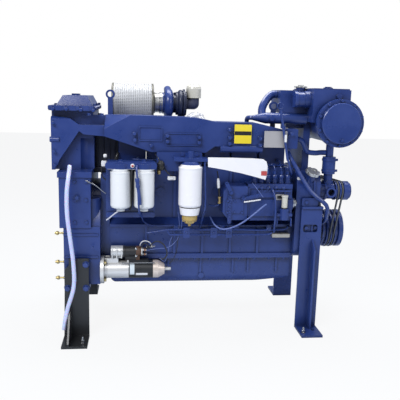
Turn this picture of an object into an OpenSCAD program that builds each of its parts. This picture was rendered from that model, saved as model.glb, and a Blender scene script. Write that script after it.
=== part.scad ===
/* [Cylinder block] */
// Height of the crankshaft axis above the floor
crank_z = 505; // [500:1:512]
// Distance from one cylinder to the next
pitch = 150; // [148:0.5:152]
// Bore of the cylinder liners
bore_d = 126; // [122:0.5:128]
// Stroke of the pistons
stroke = 130; // [126:1:132]
// Height of the deck above the crankshaft axis
deck_h = 370; // [366:1:376]

/* [Oil pan] */

/* [Cylinder heads] */
// Height of a cylinder head
head_h = 135; // [130:1:140]
// Width of a cylinder head across the engine
head_w = 236; // [228:1:240]

/* [Crank train] */
// Diameter of the main journals
main_d = 100; // [96:1:104]
// Distance from the piston pin to the crankpin
rod_len = 215; // [213:0.5:218]

/* [Flywheel end] */
// Spigot bore of the flywheel housing
sae_pilot_d = 511.2; // [505:0.1:515]
// Length of the flywheel housing
bell_len = 182; // [176:1:190]

/* [Front end] */
// Outer diameter of the crankshaft pulley
crank_pul_d = 214; // [206:1:220]
// Outer diameter of the sea-water pump pulley
sea_pul_d = 104; // [98:1:110]

/* [Charge air] */
// Length of the intercooler across the engine
cooler_len = 460; // [440:1:480]
// Diameter of the air filter
drum_d = 202; // [196:1:210]
// Length of the air filter
drum_len = 233; // [225:1:240]

/* [Cooling] */
// Diameter of the heat exchanger end cover
cover_d = 246; // [240:1:252]
// Length of the heat exchanger across the engine
shell_len = 580; // [560:1:600]

/* [Fuel system] */
// Diameter of a fuel filter canister
can_d = 101; // [98:0.5:104]
// Length of a fuel filter canister
can_len = 186; // [180:1:192]
// Diameter of the water separator canister
sep_d = 116; // [112:0.5:120]
// Length of the injection pump body
pump_len = 226; // [222:1:230]

/* [Starter] */
// Length of the starter body
start_len = 112; // [106:1:118]

/* [Legs] */
// Thickness of the leg plates
plate_t = 12; // [10:0.5:14]

/* [Hidden] */

// Lesser sizes of the castings and fittings
case_len = 100;
pan_depth = 162;
rear_w = 127;
front_w = 114;
shell_d = 214;
cooler_w = 206;
skirt_w = 380;
jacket_w = 296;
skirt_drop = 108;
rocker_h = 62;
pin_d = 82;
gear_module = 3.5;
sae_bolt_d = 530.2;
cooler_h = 322;
alt_pulley_d = 84;
start_d = 93;
foot_depth = 148;
pan_w = 344;
sep_len = 205;

// Clearances, finish colours and the overrun of every cut
cut = 1;
run_fit = 0.05;
gap = 0.3;
paint = "#2b4192";
navy = "#1c2c6c";
steel = "#b9bcc0";
black = "#26282c";
rubber = "#3a3d42";
plated = "#cdb26a";
white = "#e9ebf2";

// Cylinder row and the casting faces that other pieces are set against
cyls = 6;
each_cyl = [0:cyls-1];
row_x = -20;
block_end = 40;
block_len = cyls*pitch+2*block_end;
block_x0 = row_x-block_len/2;
block_x1 = row_x+block_len/2;
deck_z = crank_z+deck_h;
pan_z = crank_z-skirt_drop;
head_z = deck_z+head_h;
skirt_rise = 65;
shoulder_h = 30;
skirt_z = crank_z+skirt_rise;
shoulder_z = skirt_z+shoulder_h;
skirt_y = -skirt_w/2;
jacket_y = -jacket_w/2;
function cyl_x(i) = row_x+(i-(cyls-1)/2)*pitch;
function web_x(i) = row_x+(i-cyls/2)*pitch;

// Shared bodies of revolution, rounded outlines, bolts and swept tubes
module at(x,y,z) { translate([x,y,z]) children(); }
module prism_x(l) { rotate([90,0,90]) linear_extrude(l) children(); }
module both_sides() { children(); mirror([0,1,0]) children(); }
module up(z) { translate([0,0,z]) children(); }
module turn(a) { rotate([0,0,a]) children(); }
module rod(r,h) { cylinder(r = r,h = h); }
module cone(r1,r2,h) { cylinder(r1 = r1,r2 = r2,h = h); }
module box(x,y,z,w,d,h) { translate([x,y,z]) cube([w,d,h]); }
module rod_x(r,l) { rotate([0,90,0]) rod(r,l); }
module bore_x(r,l) { translate([-cut,0,0]) rod_x(r,l+2*cut); }
module rod_y(r,l) { rotate([-90,0,0]) rod(r,l); }

module round_rect(w,h,r) {
	translate([r,0]) square([w-2*r,h]);
	translate([0,r]) square([w,h-2*r]);
	for (x = [r,w-r],y = [r,h-r]) translate([x,y]) circle(r = r);
}

// Slab with rounded corners in the XZ plane, its near face at y
module plate_y(t) { rotate([90,0,0]) linear_extrude(t) children(); }
module slab_y(x,y,z,w,t,h,r) {
	at(x,y+t,z) plate_y(t) round_rect(w,h,r);
}

// Hexagon bolt head with its washer, standing out of a face at the origin along +Z
bolt_af = 17;
head_t = 9;
washer_t = 2;
module bolt_head(af) {
	up(-cut) rod(af*0.72,washer_t+cut);
	up(washer_t) rod(af/sqrt(3),head_t-washer_t,$fn = 6);
}
module bolt_x(af) { rotate([0,90,0]) bolt_head(af); }
module bolt_near(x,y,z,af = bolt_af) { at(x,y,z) rotate([90,0,0]) bolt_head(af); }
module bolt_top(x,y,z,af = bolt_af) { at(x,y,z) bolt_head(af); }
module bolt_rear(x,y,z,af = bolt_af) { at(x,y,z) rotate([0,-90,0]) bolt_head(af); }
module bolt_out(x,y,z,af = bolt_af) { at(x,y,z) bolt_x(af); }

// Smooth route through hand-chosen points, each span cut into the given number of steps
function spline_at(a,b,c,d,t) =
	(2*b+(c-a)*t+(2*a-5*b+4*c-d)*t*t+(3*b-a-3*c+d)*t*t*t)/2;
function smooth(p,steps) = concat(
	[for (i = [0:len(p)-2],s = [0:steps-1])
		spline_at(p[max(i-1,0)],p[i],p[i+1],p[min(i+2,len(p)-1)],s/steps)],
	[p[len(p)-1]]);
function unit(v) = v/norm(v);
function route_dir(p,i) = unit(p[min(i+1,len(p)-1)]-p[max(i-1,0)]);

// Closed tube skin swept along a route; across is a direction that the route never follows
module swept_tube(route,r,sides,across) {
	rings = len(route);
	points = [for (i = [0:rings-1])
		let (d = route_dir(route,i),u = unit(cross(d,across)),v = cross(u,d))
		for (k = [0:sides-1]) let (a = (k+0.5)*360/sides) route[i]+r*(cos(a)*u+sin(a)*v)];
	sides_faces = [for (i = [0:rings-2],k = [0:sides-1],half = [0,1])
		let (a = i*sides+k,b = i*sides+(k+1) % sides)
		half == 0 ? [a,b,b+sides] : [a,b+sides,a+sides]];
	ends = concat([[for (k = [sides-1:-1:0]) k]],
		[[for (k = [0:sides-1]) (rings-1)*sides+k]]);
	polyhedron(points,concat(sides_faces,ends),convexity = 6);
}

// Cylinder block
web_t = 34;
liner_wall = 8;
liner_r = bore_d/2+liner_wall;
liner_foot = 130;
flange_t = 10;
throw = stroke/2;
pin_r = pin_d/2;
main_r = main_d/2;
cheek_round = 7;
bay_room = 5;
bay_r = throw+pin_r+cheek_round+bay_room;
shell_t = 5;
cap_w = 168;
cap_h = 74;
cam_angle = 48;
crank_teeth = 30;
cam_teeth = 60;
cam_dist = gear_module*(crank_teeth+cam_teeth)/2;
cam_y = -cam_dist*cos(cam_angle);
cam_z = crank_z+cam_dist*sin(cam_angle);
cam_jr = 28;
rib_t = 14;
rib_h = 8;
rail_h = 14;
rail_out = 12;
plug_r = 24;
plug_h = 4;

module block_section() {
	polygon([[skirt_y,pan_z],[-skirt_y,pan_z],[-skirt_y,skirt_z],[-jacket_y,shoulder_z],[-jacket_y,deck_z],
		[jacket_y,deck_z],[jacket_y,shoulder_z],[skirt_y,skirt_z]]);
}

module cylinder_block() {
	color(paint) difference() {
		union() {
			at(block_x0,0,0) prism_x(block_len) block_section();
			both_sides() {
				box(block_x0,skirt_y-rail_out,pan_z,block_len,rail_out,rail_h);
				box(block_x0,skirt_y-rib_h,skirt_z-rail_h,block_len,rib_h,rail_h);
				for (i = [1:cyls-1])
					box(web_x(i)-rib_t/2,skirt_y-rib_h,pan_z+rail_h,rib_t,rib_h,skirt_z-pan_z-2*rail_h);
				for (i = [0:cyls])
					box(min(max(web_x(i)-rib_t/2,block_x0),block_x1-rib_t),jacket_y-rib_h,shoulder_z,
						rib_t,rib_h,deck_z-shoulder_z);
				for (i = each_cyl)
					at(cyl_x(i),jacket_y-plug_h,(shoulder_z+deck_z)/2) rod_y(plug_r,plug_h);
			}
		}
		for (i = each_cyl) at(cyl_x(i),0,0) {
			up(crank_z+liner_foot) rod(liner_r+run_fit,deck_h);
			up(deck_z-flange_t)
				rod(liner_r+liner_wall/2+run_fit,flange_t+cut);
			up(crank_z) rod(bore_d/2,liner_foot+cut);
			at((web_t-pitch)/2,0,crank_z) rod_x(bay_r,pitch-web_t);
			box((web_t-pitch)/2,-bay_r,pan_z-cut,pitch-web_t,2*bay_r,skirt_drop+cut);
		}
		box(block_x0-cut,-cap_w/2,pan_z-cut,block_len+2*cut,cap_w,skirt_drop+cut);
		at(block_x0,0,crank_z) bore_x(main_r+shell_t,block_len);
		at(block_x0,cam_y,cam_z) bore_x(cam_jr+run_fit,block_len);
	}
}

// Main bearing caps, one under each web, with their bolts and shells
cap_bolt_y = cap_w*0.36;
end_web_t = block_end+web_t/2;
module bearing_cap(x0,t) {
	difference() {
		union() {
			box(x0,-cap_w/2,crank_z-cap_h,t,cap_w,cap_h);
			for (side = [-1,1]) at(x0+t/2,side*cap_bolt_y,crank_z-cap_h)
				rotate([180,0,0]) bolt_head(bolt_af);
		}
		at(x0,0,crank_z) bore_x(main_r+shell_t,t);
	}
	at(x0,0,crank_z) difference() {
		rod_x(main_r+shell_t,t);
		bore_x(main_r+run_fit,t);
	}
}
module main_bearing_caps() {
	color(steel) {
		bearing_cap(block_x0,end_web_t);
		for (i = [1:cyls-1]) bearing_cap(web_x(i)-web_t/2,web_t);
		bearing_cap(block_x1-end_web_t,end_web_t);
	}
}

// Wet cylinder liners with their top flanges
module cylinder_liners() {
	color(steel) for (i = each_cyl) at(cyl_x(i),0,0) difference() {
		union() {
			up(crank_z+liner_foot) rod(liner_r,deck_h-liner_foot);
			up(deck_z-flange_t) rod(liner_r+liner_wall/2,flange_t);
		}
		up(crank_z+liner_foot-cut) rod(bore_d/2,deck_h);
	}
}

// Pistons in three pairs that rise and fall together
skirt_below_pin = 34;
crown_over_pin = 88;
piston_bowl_r = bore_d*0.28;
piston_bowl_h = 14;
piston_pin_r = 22;
pin_throw_angles = [0,120,240,240,120,0];
function piston_pin_z(a) = crank_z+throw*cos(a)+sqrt(pow(rod_len,2)-pow(throw*sin(a),2));
module piston(i) {
	z = piston_pin_z(pin_throw_angles[i]);
	color(steel) at(cyl_x(i),0,z) difference() {
		up(-skirt_below_pin)
			rod(bore_d/2-run_fit,skirt_below_pin+crown_over_pin);
		up(crown_over_pin-piston_bowl_h) rod(piston_bowl_r,piston_bowl_h+cut);
		up(-skirt_below_pin-cut)
			rod(bore_d*0.38,skirt_below_pin+crown_over_pin*0.6+cut);
		at(-bore_d/2,0,0) rod_x(piston_pin_r,bore_d);
	}
}
module pistons_outer() { piston(0); piston(5); }
module pistons_middle() { piston(1); piston(4); }
module pistons_inner() { piston(2); piston(3); }

// Timing gear outline with straight-flanked teeth
tip_share = 0.22;
module gear_outline(teeth) {
	pitch_r = gear_module*teeth/2;
	root_r = pitch_r-1.2*gear_module;
	tip_r = pitch_r+0.8*gear_module;
	step = 360/teeth;
	polygon([for (k = [0:teeth-1],p = [[root_r,-0.34],[tip_r,-tip_share/2],[tip_r,tip_share/2],[root_r,0.34]])
		let (a = (k+p[1])*step) p[0]*[cos(a),sin(a)]]);
}

// Crankshaft with its balance weights, drive gear, nose and rear flange
pin_len = 50;
cheek_t = (pitch-web_t-pin_len)/2-gap;
nose_r = 42;
gear_face = 26;
gear_x = block_x1+14;
pulley_x = 700;
pulley_hub_r = 46;
rear_fl_r = 62;
tail_len = 45;
bell_x1 = block_x0-tail_len;
bell_x0 = bell_x1-bell_len;
wheel_t = 46;
wheel_x1 = bell_x1-52;
weight_share = 0.15;
module cheek(x0) {
	at(x0,0,0) rotate([90,0,90]) linear_extrude(cheek_t) {
		translate([0,throw]) circle(r = pin_r+cheek_round);
		translate([-main_r-cheek_round,-main_r*0.5])
			square([main_d+2*cheek_round,throw+main_r*0.5]);
		difference() {
			circle(r = bay_r-2*bay_room);
			translate([-2*throw,-throw*weight_share]) square(4*throw);
		}
	}
}
module crankshaft() {
	color(steel) {
		up(crank_z) {
			difference() {
				at(wheel_x1,0,0) rod_x(rear_fl_r-run_fit,block_x0-wheel_x1-gap);
				for (k = [0:7]) rotate([k*45,0,0])
					at(wheel_x1-cut,0,rear_fl_r*0.75) rod_x(bolt_af*0.4,wheel_t);
			}
			at(block_x0-gap,0,0) rod_x(main_r,end_web_t+gap);
			at(block_x1-end_web_t,0,0) rod_x(main_r,end_web_t+2*gap);
			at(block_x1,0,0) rod_x(nose_r,crankp_x-block_x1);
			for (i = [1:cyls-1]) at(web_x(i)-web_t/2-cut,0,0) rod_x(main_r,web_t+2*cut);
			at(gear_x,0,0) prism_x(gear_face) turn(cam_angle) mirror([1,0]) gear_outline(crank_teeth);
			for (i = each_cyl) rotate([pin_throw_angles[i],0,0]) {
				at(cyl_x(i)-pin_len/2-cut,0,throw) rod_x(pin_r,pin_len+2*cut);
				cheek(cyl_x(i)-pin_len/2-cheek_t);
				cheek(cyl_x(i)+pin_len/2);
			}
		}
	}
}

// Camshaft with its lobes, journals and gear
cam_core_r = 18;
lobe_r = 19;
lobe_lift = 8;
lobe_w = 22;
lobe_share = 0.2;
module camshaft() {
	color(steel) at(0,cam_y,cam_z) {
		at(block_x0+gap,0,0) rod_x(cam_core_r,gear_x-block_x0);
		for (i = [0:cyls]) {
			x = min(max(web_x(i)-web_t/2,block_x0+gap),block_x1-web_t);
			at(x,0,0) rod_x(cam_jr,web_t);
		}
		for (i = each_cyl,side = [-1,1])
			at(cyl_x(i)+side*pitch*lobe_share-lobe_w/2,0,0)
				rotate([pin_throw_angles[i]/2+side*54,0,0])
					up(lobe_lift) rod_x(lobe_r,lobe_w);
		at(gear_x,0,0) prism_x(gear_face)
			turn(-cam_angle+180/cam_teeth) gear_outline(cam_teeth);
	}
}

// Flywheel with its starter ring, bolted to the crankshaft flange
ring_w = 20;
ring_h = 10;
ring_room = 12.6;
ring_r = sae_pilot_d/2-ring_room;
flywheel_d = 2*(ring_r-ring_h);
clutch_bore_r = 31;
clutch_holes = 8;
clutch_share = 0.94;
clutch_hole_r = 5.5;
module flywheel() {
	color(steel) at(wheel_x1-wheel_t,0,crank_z) difference() {
		union() {
			rod_x(flywheel_d/2,wheel_t);
			at(wheel_t-ring_w,0,0) rod_x(ring_r,ring_w);
		}
		bore_x(clutch_bore_r,wheel_t);
		at(-cut,0,0) rod_x(flywheel_d*0.3,wheel_t*0.3);
		for (k = [0:clutch_holes-1]) rotate([(k+0.5)*360/clutch_holes,0,0])
			at(-cut,0,flywheel_d/2*clutch_share) rod_x(clutch_hole_r,wheel_t*0.6);
		for (k = [0:7]) rotate([k*45,0,0])
			at(-cut,0,rear_fl_r*0.75) rod_x(bolt_af*0.4,wheel_t+2*cut);
	}
}

// Grooved pulley: a drum with V grooves between its ridges, about the X axis
module grooved_pulley(r,ridges,w,depth,hub_r,hub_l) {
	step = w/ridges;
	rotate([0,90,0]) rotate_extrude() polygon(concat(
		[[0,-hub_l],[hub_r,-hub_l],[hub_r,0]],
		[for (k = [0:ridges-1],p = [[0,0],[0,0.32],[1,0.44],[1,0.76]])
			k == ridges-1 && p[1] > 0.32 ? [r,w] : [r-p[0]*depth,(k+p[1])*step]],
		[[0,w]]));
}

// Crankshaft pulley with four V grooves, a dished face and its centre bolt
crank_grooves = 5;
groove_h = 11;
crankp_w = 118;
belt_step = crankp_w/crank_grooves;
crankp_x = pulley_x-belt_step;
dish_share = 0.72;
module crank_pulley() {
	r = crank_pul_d/2;
	at(crankp_x,0,crank_z) {
		color(navy) difference() {
			grooved_pulley(r,crank_grooves,crankp_w,groove_h,r*0.8,0);
			at(crankp_w*0.45,0,0) rod_x(r*dish_share,crankp_w);
		}
		color(steel) at(crankp_w*0.45,0,0) {
			rod_x(pulley_hub_r,crankp_w*0.25);
			at(crankp_w*0.25,0,0) bolt_x(bolt_af*2);
			for (k = [0:5]) rotate([k*60,0,0])
				up(pulley_hub_r*1.3) bolt_x(bolt_af);
		}
	}
}

// Oil pan: a ribbed trough under a bolted flange, deepest at the rear
pan_fl_t = 12;
pan_r = 46;
pan_nose_rise = 32;
pan_end = 3;
pan_wall = 5;
pan_x0 = block_x0+pan_end;
pan_x1 = block_x1;
pan_len = pan_x1-pan_x0;
pan_rib_t = 12;
pan_rib_h = 7;
pan_rib_len = 88;
drain_plug_r = 16;
pan_rib_share = [0.14,0.31,0.488,0.669,0.755,0.917];
pan_deep_share = 0.77;
module pan_side(wall) {
	bottom = pan_z-pan_depth+wall;
	difference() {
		union() {
			translate([pan_x0+wall,bottom]) round_rect(pan_len-2*wall,pan_depth,pan_r);
			translate([pan_x0+wall,pan_z-pan_depth/2]) square([pan_len-2*wall,pan_depth/2+wall]);
		}
		polygon([[pan_x0+pan_len*pan_deep_share,bottom-cut],[pan_x1+cut,bottom-cut],
			[pan_x1+cut,bottom+pan_nose_rise]]);
	}
}
module pan_body(wall) {
	intersection() {
		at(0,skirt_w,0) plate_y(2*skirt_w) pan_side(wall);
		at(pan_x0,0,0) prism_x(pan_len) union() {
			translate([wall-pan_w/2,pan_z-pan_depth+wall])
				round_rect(pan_w-2*wall,pan_depth,pan_r);
			translate([wall-pan_w/2,pan_z-pan_depth/2]) square([pan_w-2*wall,pan_depth/2+wall]);
		}
	}
}
module oil_pan() {
	color(paint) {
		difference() {
			union() {
				pan_body(0);
				box(pan_x0,-skirt_w/2-rail_out,pan_z-pan_fl_t,pan_len,skirt_w+2*rail_out,pan_fl_t);
			}
			pan_body(pan_wall);
		}
		for (side = [-1,1],s = pan_rib_share)
			box(pan_x0+pan_len*s,side*(pan_w+pan_rib_h)/2-pan_rib_h/2,pan_z-pan_fl_t-pan_rib_len,pan_rib_t,
				pan_rib_h,pan_rib_len);
		for (side = [-1,1],i = [0:2*cyls-1])
			at(pan_x0+pan_len*(i+0.5)/(2*cyls),side*(skirt_w/2+rail_out/3),pan_z-pan_fl_t) rotate([180,0,
				0]) bolt_head(bolt_af*0.7);
		at(row_x,-pan_w/2-pan_rib_h,pan_z-pan_depth*0.72) rod_y(drain_plug_r,pan_rib_h+cut);
	}
}

// Six separate cylinder heads and their rocker covers
head_len = pitch-6;
edge = 8;
rocker_w = head_w*0.68;
rocker_len = head_len-16;
rocker_fl_t = 8;
rocker_fl_out = 6;
eye_r = 24;
eye_hole_r = 14;
eye_t = 12;
eye_w = 26;
rear_eye = [block_x0-1,-50,deck_z+363];
front_eye = [block_x1-117,-115,deck_z+322];
module eye(p,foot_z) {
	difference() {
		union() {
			at(p[0],p[1],p[2]) rod_y(eye_r,eye_t);
			box(p[0]-eye_w/2,p[1],foot_z,eye_w,eye_t,p[2]-foot_z);
		}
		at(p[0],p[1]-cut,p[2]) rod_y(eye_hole_r,eye_t+2*cut);
	}
}
module cylinder_heads() {
	color(paint) {
		eye(rear_eye,deck_z+head_h/2);
		box(rear_eye[0]-eye_w/2,rear_eye[1],deck_z+head_h/2,cyl_x(0)-head_len/2-rear_eye[0]+eye_w,eye_t,
			head_h*0.4);
		eye(front_eye,head_z);
		box(front_eye[0]-eye_w,front_eye[1],head_z,2*eye_w,eye_t*1.5,eye_t);
	}
	color(paint) for (i = each_cyl) at(cyl_x(i)-head_len/2,-head_w/2,deck_z) {
		linear_extrude(head_h) round_rect(head_len,head_w,edge);
		for (side = [0,1],k = [0,1])
			at(head_len*(0.2+0.6*k),head_w*(0.06+0.88*side),head_h) bolt_head(bolt_af);
	}
}
module rocker_covers() {
	color(paint) for (i = each_cyl) at(cyl_x(i),0,head_z) {
		translate([-rocker_len/2-rocker_fl_out,-rocker_w/2-rocker_fl_out])
			linear_extrude(rocker_fl_t)
				round_rect(rocker_len+2*rocker_fl_out,rocker_w+2*rocker_fl_out,2*edge);
		translate([-rocker_len/2,-rocker_w/2])
			linear_extrude(rocker_h-rocker_fl_t) round_rect(rocker_len,rocker_w,2*edge);
		translate([-rocker_len/2+edge,-rocker_w/2+edge])
			linear_extrude(rocker_h) round_rect(rocker_len-2*edge,rocker_w-2*edge,2*edge);
		bolt_top(0,0,rocker_h);
	}
}

// Flywheel housing: a bell with flat flanks, SAE bolt ring and starter pocket
bell_wall = 10.9;
bell_r = sae_bolt_d/2+bell_wall;
flank_y = -bell_r;
flank_z1 = crank_z+70;
flank_z0 = crank_z-262;
step_z = crank_z-234;
bell_wall_t = 35;
spigot_depth = 14;
sae_holes = 12;
sae_hole_r = 5.5;
sae_hole_depth = 24;
start_angle = 36.4;
pinion_r = 39.9;
start_dist = ring_r+pinion_r+gap;
start_y = -start_dist*cos(start_angle);
start_z = crank_z-start_dist*sin(start_angle);
pilot_r = 44;
pad_r = 20;
rear_pad_h = 32;
leg_pad_y = flank_y-rear_pad_h;
ledge_t = 7;
ledge_h = 9;
pad_share = [[0.12,0],[0.62,0],[0.62,1]];
pad_low_z = crank_z-238;
pad_high_z = crank_z-114;
module for_each_rear_pad() {
	for (side = [-1,1],p = pad_share)
		at(bell_x0+bell_len*p[0],side*-flank_y,pad_low_z+p[1]*(pad_high_z-pad_low_z))
			rotate([side*-90,0,0]) children();
}
module flywheel_housing() {
	color(paint) difference() {
		union() {
			at(bell_x0,0,crank_z) rod_x(bell_r,bell_len);
			box(bell_x0,flank_y,step_z,bell_len,-2*flank_y,flank_z1-step_z);
			box(bell_x0,flank_y,flank_z0,rear_w,-2*flank_y,step_z-flank_z0+cut);
			box(bell_x1,skirt_y,pan_z,tail_len,skirt_w,deck_z-pan_z-tail_len);
			for (side = [-1,1],z = [flank_z1-tail_len,flank_z1-3.6*tail_len])
				box(bell_x0,side*(-flank_y+ledge_t/2)-ledge_t/2,z,bell_len-ledge_h,ledge_t,ledge_h);
			for_each_rear_pad() rod(pad_r,rear_pad_h);
		}
		at(bell_x0-cut,0,crank_z) rod_x(sae_pilot_d/2,spigot_depth+cut);
		at(bell_x0-cut,0,crank_z)
			rod_x(sae_pilot_d/2-ledge_t/2,bell_len-bell_wall_t+cut);
		at(bell_x0,0,crank_z) rod_x(rear_fl_r+gap,bell_len+tail_len+cut);
		for (k = [0:sae_holes-1]) about_crank((k+0.5)*360/sae_holes)
			at(bell_x0-cut,0,sae_bolt_d/2) rod_x(sae_hole_r,sae_hole_depth+cut);
		at(wheel_x1-2*ring_w,start_y,start_z)
			rod_x(pilot_r,bell_x1+cut-wheel_x1+2*ring_w);
		box(bell_x1,flank_y,pan_z-skirt_drop,tail_len+cut,-flank_y+skirt_y,deck_z);
		at(block_x0-tail_len,cam_y,cam_z) rod_x(cam_jr,tail_len+cut);
		ped_shape();
	}
}
module about_crank(a) { up(crank_z) rotate([a,0,0]) children(); }

// Rear pedestal: the casting behind the flywheel housing that carries the intercooler
ped_w = 156;
ped_x0 = bell_x0-18;
ped_y = -285;
ped_z0 = crank_z+66;
ped_z1 = 856;
ped_fl_t = 28;
ped_fl_out = 6;
ped_arch_r = bell_r+5;
column_r = 48;
column_top = 144;
module ped_shape() {
	difference() {
		union() {
			box(ped_x0,ped_y,ped_z0,ped_w,-2*ped_y,ped_z1-ped_z0-ped_fl_t);
			box(ped_x0-ped_fl_out,ped_y-ped_fl_out,ped_z1-ped_fl_t,ped_w+2*ped_fl_out,
				-2*ped_y+2*ped_fl_out,ped_fl_t);
			for (side = [-1,1])
				at(ped_x0+ped_w,side*(-ped_y-1.6*column_r),ped_z0)
					rod(column_r,column_top);
		}
		at(ped_x0-2*ped_fl_out,0,crank_z)
			rod_x(ped_arch_r,bell_x0-ped_x0+2*ped_fl_out);
		at(bell_x0-cut,0,crank_z)
			rod_x(bell_r+gap,bell_x1-bell_x0+column_r);
		box(bell_x1,skirt_y-gap,ped_z0-cut,tail_len,skirt_w+2*gap,deck_z-ped_z0);
	}
}
module rear_pedestal() {
	color(paint) {
		ped_shape();
		for (z = [0.12,0.56,0.92],x = [0.5,0.86])
			bolt_near(ped_x0+ped_w*x,ped_y,
				ped_z0+(ped_z1-ped_fl_t-ped_z0)*z,bolt_af*0.8);
	}
}

// Starter motor: flange, nose casting, body, end cap and terminal
start_r = 74;
start_t = 18;
nose_len = 118;
tail_cap_len = 84;
tip_len = 34;
terminal_r = 9;
module starter_motor() {
	at(bell_x1,start_y,start_z) {
		color(steel) difference() {
			union() {
				at(-bell_wall_t*0.6,0,0) rod_x(pilot_r-run_fit,bell_wall_t*0.6);
				intersection() {
					rod_x(start_r,start_t);
					box(0,-start_r,-start_r,start_t,1.45*start_r,2*start_r);
				}
				rod_x(start_d*0.53,start_t+nose_len*0.12);
				rod_x(start_d/2,nose_len+start_t);
				box(start_t,-start_d*0.24,0,nose_len*0.62,start_d*0.44,start_d*0.69);
			}
			at(-bell_wall_t,0,0) rod_x(pinion_r+gap*5,bell_wall_t+start_t);
			rod_x(pin_shaft_r+run_fit,start_t+pinion_len*2);
		}
		color(black) at(start_t+nose_len,0,0) {
			rod_x(start_d/2,start_len);
			box(0,-start_d*0.2,start_d*0.3,start_len,start_d*0.4,start_d*0.27);
		}
		color("#d8cbb8") at(start_t+nose_len+start_len,0,0) {
			rod_x(start_d/2,tail_cap_len*0.6);
			at(tail_cap_len*0.6,0,0) rotate([0,90,0])
				cone(start_d/2,start_d*0.3,tail_cap_len*0.4);
			at(tail_cap_len,0,0) rod_x(terminal_r,tip_len);
		}
		for (a = [40,140,220,320]) rotate([a,0,0])
			at(start_t,0,start_r*0.8) color(plated) bolt_x(bolt_af);
	}
}

// Starter solenoid over the body, with its clamp and terminals
sol_r = 31;
sol_len = 176;
sol_rise = start_d*0.57+sol_r+12;
module starter_solenoid() {
	at(bell_x1+start_t+nose_len*0.3,start_y,start_z+sol_rise) {
		color(steel) rod_x(sol_r,sol_len*0.42);
		color(black) at(sol_len*0.42,0,0) {
			rod_x(sol_r*0.92,sol_len*0.42);
			box(0,-sol_r*0.5,-sol_rise+start_d*0.57,sol_len*0.42,sol_r,sol_rise-start_d*0.57);
		}
		color(steel) box(0,-sol_r*0.5,-sol_rise+start_d*0.69,sol_len*0.3,sol_r,sol_rise-start_d*0.69);
		color("#8a5a3c") at(sol_len*0.84,0,0) {
			rod_x(sol_r*0.8,sol_len*0.08);
			for (a = [-50,50,180]) rotate([a,0,0]) up(sol_r*0.5)
				rod_x(terminal_r*0.6,sol_len*0.2);
		}
	}
}

// Starter pinion on its shaft, parked clear of the flywheel ring
pinion_len = 25;
pinion_park = 6;
pin_shaft_r = 12;
module starter_pinion() {
	color(steel) at(wheel_x1+pinion_park,start_y,start_z) {
		rod_x(pinion_r,pinion_len);
		at(pinion_len,0,0) rod_x(pin_shaft_r,bell_wall_t+start_t+pinion_len*0.5);
	}
}

// Front gear case round the timing gears, and its cover with the crankshaft seal
case_y = -238;
case_z0 = crank_z-116;
case_z1 = crank_z+352;
case_r = 70;
case_wall_t = 10;
case_lip = 6;
gear_room = 6;
cover_len = 30;
seal_boss_len = 44;
seal_boss_r = 78;
case_x1 = block_x1+case_len;
cover_x1 = case_x1+cover_len;
module case_outline(inset) {
	translate([case_y+inset,case_z0+inset])
		round_rect(-2*(case_y+inset),case_z1-case_z0-2*inset,case_r-inset);
}
module front_gear_case() {
	color(paint) difference() {
		union() {
			at(block_x1,0,0) prism_x(case_len) case_outline(0);
			at(case_x1-case_wall_t,0,0) prism_x(case_wall_t) case_outline(-case_lip);
			oil_neck();
		}
		at_oil_neck() up(neck_len*0.5) rod(oil_r*0.7+run_fit,neck_len);
		at(gear_x-gear_room,0,crank_z)
			rod_x(gear_module*crank_teeth/2+2*gear_room,case_len);
		at(gear_x-gear_room,cam_y,cam_z)
			rod_x(gear_module*cam_teeth/2+2*gear_room,case_len);
		at(block_x1-cut,0,crank_z) rod_x(main_r+gap,case_len);
		at(block_x1-cut,cam_y,cam_z) rod_x(cam_jr,case_len);
	}
}
module gear_case_cover() {
	color(paint) difference() {
		union() {
			at(case_x1,0,0) prism_x(cover_len) case_outline(case_wall_t*0.4);
			at(cover_x1,0,crank_z) rod_x(seal_boss_r,seal_boss_len);
			at(cover_x1,cam_y,cam_z) rod_x(seal_boss_r,seal_boss_len*0.4);
			for (k = [0:5],side = [-1,1])
				bolt_out(cover_x1,side*(-case_y-case_wall_t*2.2),
					case_z0+case_r+(case_z1-case_z0-2*case_r)*k/5);
		}
		at(case_x1,0,crank_z) bore_x(nose_r+run_fit,cover_len+seal_boss_len);
	}
}

// Oil cooler cover and oil filters on the far side of the block
oil_share = [0.2,0.72];
oil_t = 62;
oil_z0 = shoulder_z+20;
oil_h = 150;
oil_can_r = 52;
oil_can_len = 176;
module crankcase_side_cover() {
	x0 = block_x0+block_len*oil_share[0];
	w = block_len*(oil_share[1]-oil_share[0]);
	y0 = -jacket_y+rib_h;
	color(paint) {
		slab_y(x0,y0,oil_z0,w,oil_t*0.4,oil_h,edge*2);
		slab_y(x0+rail_out,y0,oil_z0+rail_out,w-2*rail_out,oil_t,oil_h-2*rail_out,
			edge*3);
		box(x0+w*0.1,y0+oil_t*0.9,oil_z0+oil_h*0.45,w*0.48,oil_can_r*2.2,oil_h*0.34);
		for (k = [0:5],side = [0,1])
			at(x0+w*(0.06+0.176*k),y0+oil_t*0.4,oil_z0+rail_out/2+side*(oil_h-rail_out)) rotate([-90,0,0])
				bolt_head(bolt_af*0.6);
	}
	color(white) for (k = [0,1])
		at(x0+w*(0.21+0.25*k),y0+oil_t*0.9+oil_can_r*1.12,oil_z0+oil_h*0.45) rotate([180,0,0])
			can(oil_can_r,oil_can_len);
}

// Spin-on canister hanging along +Z from its seam at the origin, with a domed end
dome_h = 14;
seam_h = 10;
module can(r,l) {
	rotate_extrude() {
		polygon([[0,0],[r*0.94,0],[r*1.02,seam_h*0.3],[r*1.02,seam_h],[r,seam_h*1.3],[r,l-dome_h],
			[r*0.93,l-dome_h*0.4],[r*0.72,l],[0,l]]);
	}
}

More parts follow.
